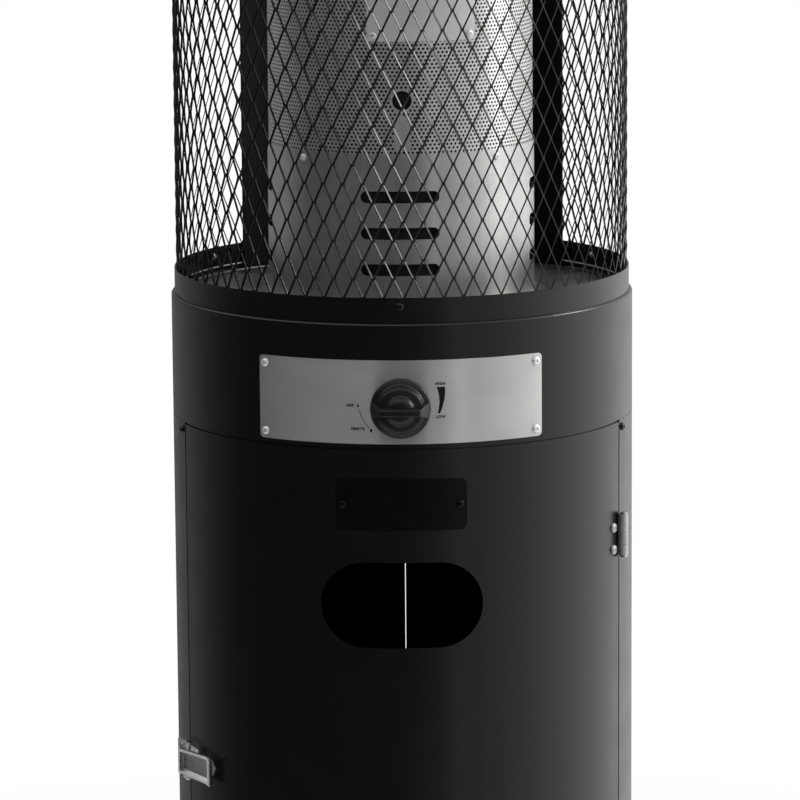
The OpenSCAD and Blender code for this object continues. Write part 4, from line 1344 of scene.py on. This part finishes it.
@dataclass
class Fasteners(Assembly):
    """Screw heads with a cross recess, rivet heads, and the nuts behind the guard's ring.

    The screws are listed by node, with width and height in millimetres, finish, slot and body.
    """

    apart: float = 12.0 * MM
    screws: tuple[tuple[str, float, float, str, str, Body], ...] = (
        ("panel_screws", 8.0, 2.6, "zinc", "plated_steel", Body.FRAME),
        ("cabinet_screws", 8.0, 2.6, "paint", "black_paint", Body.FRAME),
        ("ring_screws", 8.0, 2.6, "paint", "black_paint", Body.FRAME),
        ("emitter_screws", 7.4, 2.0, "zinc", "sheet_steel", Body.FRAME),
        ("hinge_screws", 9.6, 3.2, "satin", "plated_steel", Body.DOOR))
    ring_step: int = 120
    rivet_size: Pair = (8.0 * MM, 2.4 * MM)
    nut_size: Pair = (7.0 * MM, 2.6 * MM)
    nut_edge: float = 0.35 * MM
    ring_wall: float = 1.7 * MM
    cross_turns: Pair = (20.0, 110.0)
    head_turn: float = 37.0

    def screw(self, wide: float, high: float) -> Thing:
        """Turns a pan head and cuts its cross recess.

        Args:
            wide: the head's diameter.
            high: its height.

        Returns:
            The head in XY, its seat at zero.
        """
        r = wide / 2
        head = Bench.lathe("head", [(0.0, 0.0), (r, 0.0), (r, 0.25 * high), (0.94 * r, 0.55 * high),
                                    (0.78 * r, 0.80 * high), (0.52 * r, 0.95 * high), (0.0, high)], 28)
        Bench.smooth(head, 45.0)
        bars = []
        for turn in self.cross_turns:
            bar = Bench.block("bar", (0.46 * wide, 0.14 * wide, high), (0.0, 0.0, 0.95 * high))
            bar.data.transform(turned(turn))
            bars.append(bar)
        Bench.cut(head, Bench.join(bars), crossed=True)
        return head

    def rivet(self, wide: float, high: float) -> Thing:
        """Turns a plain domed rivet head.

        Args:
            wide: the head's diameter.
            high: its height.

        Returns:
            The head in XY, its seat at zero.
        """
        turns = [math.radians(angle) for angle in range(0, 90, 15)]
        dome = [(wide / 2 * math.cos(turn), high * math.sin(turn)) for turn in turns]
        head = Bench.lathe("rivet", [(0.0, 0.0)] + dome + [(0.0, high)], 28)
        Bench.smooth(head, 60.0)
        return head

    def nut(self, wide: float, high: float) -> Thing:
        """Bevels a hexagon nut and stands a screw's end in it.

        Args:
            wide: the nut's width over its corners.
            high: its height.

        Returns:
            The nut in XY, its seat at zero.
        """
        made = Bench.rod("nut", 6, wide / 2, high, (0.0, 0.0, high / 2))
        Bench.soften(made, self.nut_edge)
        end = Bench.lathe("end", [(0.0, 0.0), (0.27 * wide, 0.0), (0.27 * wide, 1.5 * high),
                                  (0.2 * wide, 1.7 * high), (0.0, 1.7 * high)], 20)
        Bench.smooth(end)
        return Bench.join([made, end])

    def set_heads(self, master: Thing, places: list[Triple]) -> Thing:
        """Copies a head to its places, each turned a little further than the last.

        Args:
            master: the head, which is deleted.
            places: angle, radius of the seat and height of each copy.

        Returns:
            The copies as one object.
        """
        copies = []
        for count, place in enumerate(places):
            copies.append(Bench.copy(master, Bench.skin_place(*place) @ turned(self.head_turn * count)))
        Bench.drop(master)
        return Bench.join(copies)

    def build(self) -> None:
        """Replaces every node of plain heads and adds the nuts."""
        ring = heads_of("ring_screws", self.apart)
        ring = [place for place in ring if round(place[0]) % self.ring_step == 0]
        for node, wide, high, finish, slot, body in self.screws:
            places = ring if node == "ring_screws" else heads_of(node, self.apart)
            piece = self.set_heads(self.screw(wide * MM, high * MM), places)
            self.deliver(piece, node + "_heads", getattr(self.palette, finish), slot, node, body=body)
        piece = self.set_heads(self.rivet(*self.rivet_size), heads_of("name_plate_rivets", self.apart))
        self.deliver(piece, "name_plate_rivet_heads", self.palette.badge, "black_paint", "name_plate_rivets",
                     body=Body.DOOR)
        inside = self.ring_wall - reach_of("guard_ring")
        nuts = [(angle + 180.0, inside, height) for angle, _, height in ring]
        piece = self.set_heads(self.nut(*self.nut_size), nuts)
        self.deliver(piece, "ring_nuts", self.palette.plate, "plated_steel")


@dataclass
class LatchLever(Assembly):
    """Dished lever of the over-centre latch: a pressed tray, a barrel round the pin and two cheeks."""

    turn: float = -54.03
    behind: float = 1.0 * MM
    long: float = 54.0 * MM
    half_pin: float = 12.3 * MM
    half_end: float = 13.8 * MM
    flare: float = 1.6 * MM
    corner: float = 5.0 * MM
    corner_cut: float = 1.4 * MM
    rim_up: float = 4.2 * MM
    rim_flat: float = 1.1 * MM
    rim_thick: float = 0.9 * MM
    rim_soft: float = 0.4 * MM
    wall_in: float = 3.0 * MM
    skirt: float = 3.8 * MM
    edge_wide: float = 2.6 * MM
    sheet: float = 1.0 * MM
    tray_soft: float = 0.45 * MM
    barrel_radii: Pair = (2.05 * MM, 3.7 * MM)
    cheek_place: Triple = (10.0 * MM, 9.5 * MM, -2.5 * MM)
    cheek_radii: Pair = (1.3 * MM, 2.75 * MM)
    cheek_thick: float = 1.5 * MM
    web_long: float = 5.5 * MM
    web_high: float = 2.0 * MM

    def blank(self) -> Thing:
        """Draws the lever's outline as one flat face at the height of its rim.

        Returns:
            The face.
        """
        bend = self.long - self.corner
        blank = Bench.patch("tray", [
            (-self.behind, -self.half_pin), (bend, -self.half_end), (self.long, -self.half_end - self.flare),
            (self.long, self.half_end - self.corner),
            (self.long - self.corner_cut, self.half_end - self.corner_cut),
            (bend, self.half_end), (-self.behind, self.half_pin)])
        blank.data.transform(Matrix.Translation((0.0, 0.0, self.rim_up)))
        return blank

    def rim(self) -> Thing:
        """Cuts the turned edge that runs round the tray, in a lighter finish than the tray: a painted
        highlight on the edge.

        Returns:
            The edge.
        """
        made = self.blank()
        Bench.edit(made, "FACE")
        bpy.ops.mesh.inset(thickness=self.edge_wide)
        bpy.ops.mesh.delete(type="FACE")
        Bench.clear()
        Bench.modify(made, "SOLIDIFY", thickness=self.rim_thick, offset=0.6)
        Bench.soften(made, self.rim_soft, 3)
        return made

    def tray(self) -> Thing:
        """Insets a flat blank twice, the second time inwards, and gives it the sheet's thickness.

        Returns:
            The tray with its skirt.
        """
        blank = self.blank()
        Bench.edit(blank, "FACE")
        bpy.ops.mesh.inset(thickness=self.rim_flat)
        bpy.ops.mesh.inset(thickness=self.wall_in, depth=-self.rim_up)
        Bench.edit(blank, "EDGE")
        bpy.ops.mesh.select_all(action="DESELECT")
        bpy.ops.mesh.select_non_manifold()
        bpy.ops.mesh.extrude_edges_move(TRANSFORM_OT_translate={"value": (0.0, 0.0, -self.skirt)})
        bpy.ops.mesh.select_all(action="SELECT")
        bpy.ops.mesh.normals_make_consistent(inside=False)
        Bench.clear()
        Bench.modify(blank, "SOLIDIFY", thickness=self.sheet, offset=-1.0)
        Bench.soften(blank, self.tray_soft, 3, 20.0)
        return blank

    def tube(self, radii: Pair, high: float, place: Triple) -> Thing:
        """Turns a short tube that stands along the pin.

        Args:
            radii: its inner and outer radius.
            high: its length.
            place: its middle.

        Returns:
            The tube.
        """
        made = Bench.hoop("tube", radii, (-high / 2, high / 2), 32)
        Bench.smooth(made)
        made.data.transform(Matrix.Translation(place) @ UPRIGHT.inverted())
        return made

    def build(self) -> None:
        """Sets the lever on its pin."""
        low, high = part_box("latch_pin")
        x, out, drop = self.cheek_place
        web = (self.web_long, self.cheek_thick, self.web_high)
        parts = [self.tray(), self.tube(self.barrel_radii, 2 * self.half_pin, (0.0, 0.0, 0.0))]
        for y in (-out, out):
            parts.append(self.tube(self.cheek_radii, self.cheek_thick, (x, y, drop)))
            parts.append(Bench.block("web", web, (x, y, -self.web_high / 2)))
        place = Matrix.Translation((low + high) / 2) @ turned(self.turn) @ UPRIGHT
        # Painted highlight: the rim is the tray's own edge, given the lighter white zinc finish.
        pieces = ((Bench.join(parts), "latch_lever_tray", self.palette.plate, ("latch_lever",)),
                  (self.rim(), "latch_lever_rim", self.palette.zinc, ()))
        for piece, name, finish, nodes in pieces:
            piece.data.transform(place)
            self.deliver(piece, name, finish, "plated_steel", *nodes, body=Body.LEVER)


@dataclass
class LatchPlates(Assembly):
    """Keeper plate beside the door, base plate under the lever, and the wire loop drawn up short."""

    keeper_size: Pair = (28.0 * MM, 38.0 * MM)
    keeper_drop: float = 7.0 * MM
    corner: float = 5.0 * MM
    hole_r: float = 2.5 * MM
    hole_in: float = 5.5 * MM
    drill_long: float = 20.0 * MM
    thick: float = 1.5 * MM
    hook_out: float = 5.5 * MM
    hook_middle: float = 2.7 * MM
    hook_in: float = 8.0 * MM
    edge_soft: float = 0.3 * MM
    loop_short: float = 14.0 * MM
    base_half: float = 12.4 * MM

    def bench_copy(self, node: str) -> Thing:
        """Copies a CAD node and merges its doubles.

        Args:
            node: the CAD node.

        Returns:
            The copy to work on.
        """
        made = Bench.copy(frame["nodes"][node], Matrix())
        Bench.edit(made)
        bpy.ops.mesh.remove_doubles(threshold=WELD / 2)
        Bench.clear()
        return made

    def keeper(self) -> None:
        """Rolls a round-cornered plate with a hole at each end onto the side panel, and adds its hook."""
        points = [p.co for p in frame["nodes"]["latch_keeper"].data.vertices]
        edge = max(math.degrees(math.atan2(p.x, -p.y)) for p in points)
        radius = min(math.hypot(p.x, p.y) for p in points)
        low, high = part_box("latch_keeper")
        middle = (low.z + high.z) / 2
        made = Bench.plate("keeper", self.keeper_size, self.corner, 6, self.thick)
        for side in (-1, 1):
            height = side * (self.keeper_size[1] / 2 - self.hole_in)
            Bench.cut(made, Bench.rod("drill", 24, self.hole_r, self.drill_long, (0.0, height, 0.0)))
        turn = edge - math.degrees(self.keeper_size[0] / 2 / radius)
        Bench.wrap(made, radius, middle - self.keeper_drop, turn)
        hook = Bench.block("hook", (self.thick, self.hook_out, high.z - low.z),
                           (0.0, -radius - self.hook_middle, middle))
        hook.data.transform(turned(edge - math.degrees(self.hook_in / radius)))
        piece = Bench.join([made, hook])
        Bench.soften(piece, self.edge_soft)
        self.deliver(piece, "latch_keeper_plate", self.palette.zinc, "plated_steel", "latch_keeper")

    def base(self) -> None:
        """Trims the base plate to the height that the lever covers."""
        made = self.bench_copy("latch_base")
        low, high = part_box("latch_base")
        middle = (low.z + high.z) / 2
        for side in (-1, 1):
            Bench.edit(made, "FACE")
            bpy.ops.mesh.bisect(plane_co=(0.0, 0.0, middle + side * self.base_half),
                                plane_no=(0.0, 0.0, side), use_fill=True, clear_outer=True)
            Bench.clear()
        self.deliver(made, "latch_base_plate", self.palette.zinc, "plated_steel", "latch_base",
                     body=Body.DOOR)

    def loop(self) -> None:
        """Shortens the wire loop so that the lever hides it."""
        made = self.bench_copy("latch_loop")
        spots = [vertex.co for vertex in made.data.vertices]
        far = min(spots, key=lambda p: p.x)
        near = max(spots, key=lambda p: p.x)
        along = Vector((far.x - near.x, far.y - near.y, 0.0))
        reach = along.length
        along.normalize()
        for vertex in made.data.vertices:
            if (vertex.co - near).dot(along) > reach / 2:
                vertex.co -= along * self.loop_short
        Bench.smooth(made)
        self.deliver(made, "latch_wire_loop", self.palette.plate, "plated_steel", "latch_loop",
                     body=Body.LOOP)

    def build(self) -> None:
        """Makes the three pieces."""
        self.keeper()
        self.base()
        self.loop()


@dataclass(frozen=True)
class SoftBox:
    """A soft lamp with its place, the point that it faces, its width and height, and its power in watts."""

    name: str
    place: Triple
    aim: Triple
    size: Pair
    power: float
    mirrored: bool = False

    def hang(self) -> Thing:
        """Adds the lamp, which shows in shiny surfaces only if it is mirrored.

        Returns:
            The lamp.
        """
        data = bpy.data.lights.new(self.name, "AREA")
        data.shape = "RECTANGLE"
        data.size, data.size_y = self.size
        data.energy = self.power
        lamp = bpy.data.objects.new(self.name, data)
        lamp.location = self.place
        lamp.rotation_euler = (Vector(self.aim) - Vector(self.place)).to_track_quat("-Z", "Y").to_euler()
        lamp.visible_glossy = self.mirrored
        bpy.context.scene.collection.objects.link(lamp)
        return lamp


@dataclass
class Studio:
    """Pale floor, white surroundings, soft light from the right and the photograph's camera.

    The card's glow is listed by degrees from the front. The two world lights are a colour and a strength.
    """

    floor_r: float = 1.5
    floor_fade: Pair = (0.45, 0.98)
    camera_out: float = 4.5
    camera_up: float = 1.5551
    camera_side: float = -2.64 * MM
    camera_turn: float = 0.55
    camera_pitch: float = 10.147
    camera_roll: float = -0.435
    camera_range: float = 100.0
    lens: float = 204.9
    sensor: float = 36.0
    card_r: float = 1.9
    card_heights: Pair = (-1.0, 1.9)
    card_power: float = 2.0
    card_glow: tuple[Pair, ...] = (
        (-180.0, 0.24), (-120.0, 0.26), (-100.0, 0.13), (-82.0, 0.06), (0.0, 0.075), (15.0, 0.16),
        (24.0, 0.24), (27.0, 1.0), (30.0, 0.30), (45.0, 0.50), (62.0, 0.73), (81.0, 1.05), (95.0, 1.3),
        (111.0, 1.42), (131.0, 1.45), (152.0, 0.90), (180.0, 0.40))
    world_lights: tuple[tuple[Triple, float], ...] = (((0.96, 0.98, 1.0), 0.55), ((1.0, 1.0, 1.0), 1.0))
    lamps: tuple[SoftBox, ...] = (
        SoftBox("key_right", (2.6, -1.1, 1.7), (0.0, 0.0, 0.8), (1.2, 2.2), 70.0),
        SoftBox("fill_left", (-2.4, -1.8, 2.0), (0.0, 0.0, 0.8), (1.0, 1.6), 18.0),
        SoftBox("top", (0.3, -0.4, 3.2), (0.0, 0.0, 1.0), (1.6, 1.6), 30.0),
        SoftBox("side_right", (1.59, 0.14, 1.61), (0.0, -0.2, 1.03), (0.6, 0.5), 15.0, mirrored=True))
    sheen: SoftBox = SoftBox("mesh_sheen", (1.15, -1.39, 1.72), (0.0, -0.2, 1.15), (2.4, 0.55), 150.0,
                             mirrored=True)

    def floor(self) -> None:
        """Lays a pale disc that fades into the white surroundings."""
        disc = Bench.disc("studio_floor", 96, self.floor_r)
        shader = Shader("pale_floor")
        shader.set(Roughness=0.9, Specular_IOR_Level=0.1)
        shader.tint(shader.noise(30.0, 3.0), (0.80, 0.80, 0.80), (0.83, 0.83, 0.83))
        reach = shader.add("ShaderNodeVectorMath", operation="LENGTH")
        shader.link(shader.place, reach.inputs[0])
        span = tuple(share * self.floor_r for share in self.floor_fade)
        shader.feed(shader.rescale(reach.outputs["Value"], span, (1.0, 0.0), interpolation_type="SMOOTHSTEP"),
                    "Alpha")
        disc.data.materials.append(shader.material)
        disc.visible_glossy = False

    def card(self) -> None:
        """Stands a card round the heater that only reflections see, grey at the left, bright at the right."""
        foot, top = self.card_heights
        card = Bench.rod("studio_card", 96, self.card_r, top - foot, (0.0, 0.0, (top + foot) / 2), "NOTHING")
        shader = Shader("grey_card")
        shader.set(Base_Color=(0.0, 0.0, 0.0, 1.0), Specular_IOR_Level=0.0, Emission_Strength=self.card_power)
        first, last = self.card_glow[0][0], self.card_glow[-1][0]
        span = (math.radians(first) * shader.arc_r, math.radians(last) * shader.arc_r)
        share = shader.rescale(shader.arc()[0], span, (0.0, 1.0))
        stops = []
        for degrees, glow in self.card_glow:
            stops.append(((degrees - first) / (last - first), (glow / self.card_power,) * 3))
        shader.feed(shader.ramp(share, stops), "Emission Color")
        card.data.materials.append(shader.material)
        for ray in ("camera", "diffuse", "shadow", "transmission", "volume_scatter"):
            setattr(card, "visible_" + ray, False)

    def world(self) -> None:
        """Shows white to the camera, reflections and glass, and lights the object softly."""
        world = bpy.data.worlds.new("studio_world")
        bpy.context.scene.world = world
        world.use_nodes = True
        nodes = world.node_tree.nodes
        link = world.node_tree.links.new
        nodes.clear()
        path = nodes.new("ShaderNodeLightPath")
        mix = nodes.new("ShaderNodeMixShader")
        seen = path.outputs["Is Camera Ray"]
        for ray in ("Is Glossy Ray", "Is Transmission Ray"):
            either = nodes.new("ShaderNodeMath")
            either.operation = "MAXIMUM"
            link(seen, either.inputs[0])
            link(path.outputs[ray], either.inputs[1])
            seen = either.outputs[0]
        link(seen, mix.inputs["Fac"])
        for place, (colour, strength) in enumerate(self.world_lights, start=1):
            light = nodes.new("ShaderNodeBackground")
            light.inputs["Color"].default_value = (*colour, 1.0)
            light.inputs["Strength"].default_value = strength
            link(light.outputs[0], mix.inputs[place])
        link(mix.outputs[0], nodes.new("ShaderNodeOutputWorld").inputs["Surface"])

    def mesh_sheen(self) -> None:
        """Hangs a wide lamp at the right that only the guard's strands catch."""
        strands = bpy.data.collections.new("mesh_sheen_strands")
        for piece in bpy.data.objects:
            if piece.name.startswith("mesh_strands_"):
                strands.objects.link(piece)
        self.sheen.hang().light_linking.receiver_collection = strands

    def camera(self) -> None:
        """Sets the camera where the photograph was taken from."""
        data = bpy.data.cameras.new("photo_camera")
        data.lens = self.lens
        data.sensor_width = self.sensor
        data.clip_end = self.camera_range
        camera = bpy.data.objects.new("photo_camera", data)
        place = Matrix.Translation((self.camera_side, -self.camera_out, self.camera_up))
        pitch = Matrix.Rotation(math.radians(90.0 - self.camera_pitch), 4, "X")
        camera.matrix_world = turned(self.camera_turn) @ place @ pitch @ turned(self.camera_roll)
        bpy.context.scene.collection.objects.link(camera)
        bpy.context.scene.camera = camera

    def build(self) -> None:
        """Sets up the whole studio."""
        bpy.context.scene.view_settings.view_transform = "Standard"
        self.floor()
        self.card()
        self.world()
        for lamp in self.lamps:
            lamp.hang()
        self.mesh_sheen()
        self.camera()


def main() -> None:
    """Builds the heater's pieces in order and sets up the studio."""
    logging.basicConfig(level=logging.INFO, format="%(name)s: %(message)s")
    palette = Palette()
    for assembly in (CadDress, MeshGuard, EmitterScreen, RingShadeLining, RearSeam, HousingShell, ControlKnob,
                     DialPrint, Fasteners, LatchLever, LatchPlates):
        assembly(palette).build()
    Studio().build()


if __name__ == "__main__":
    main()
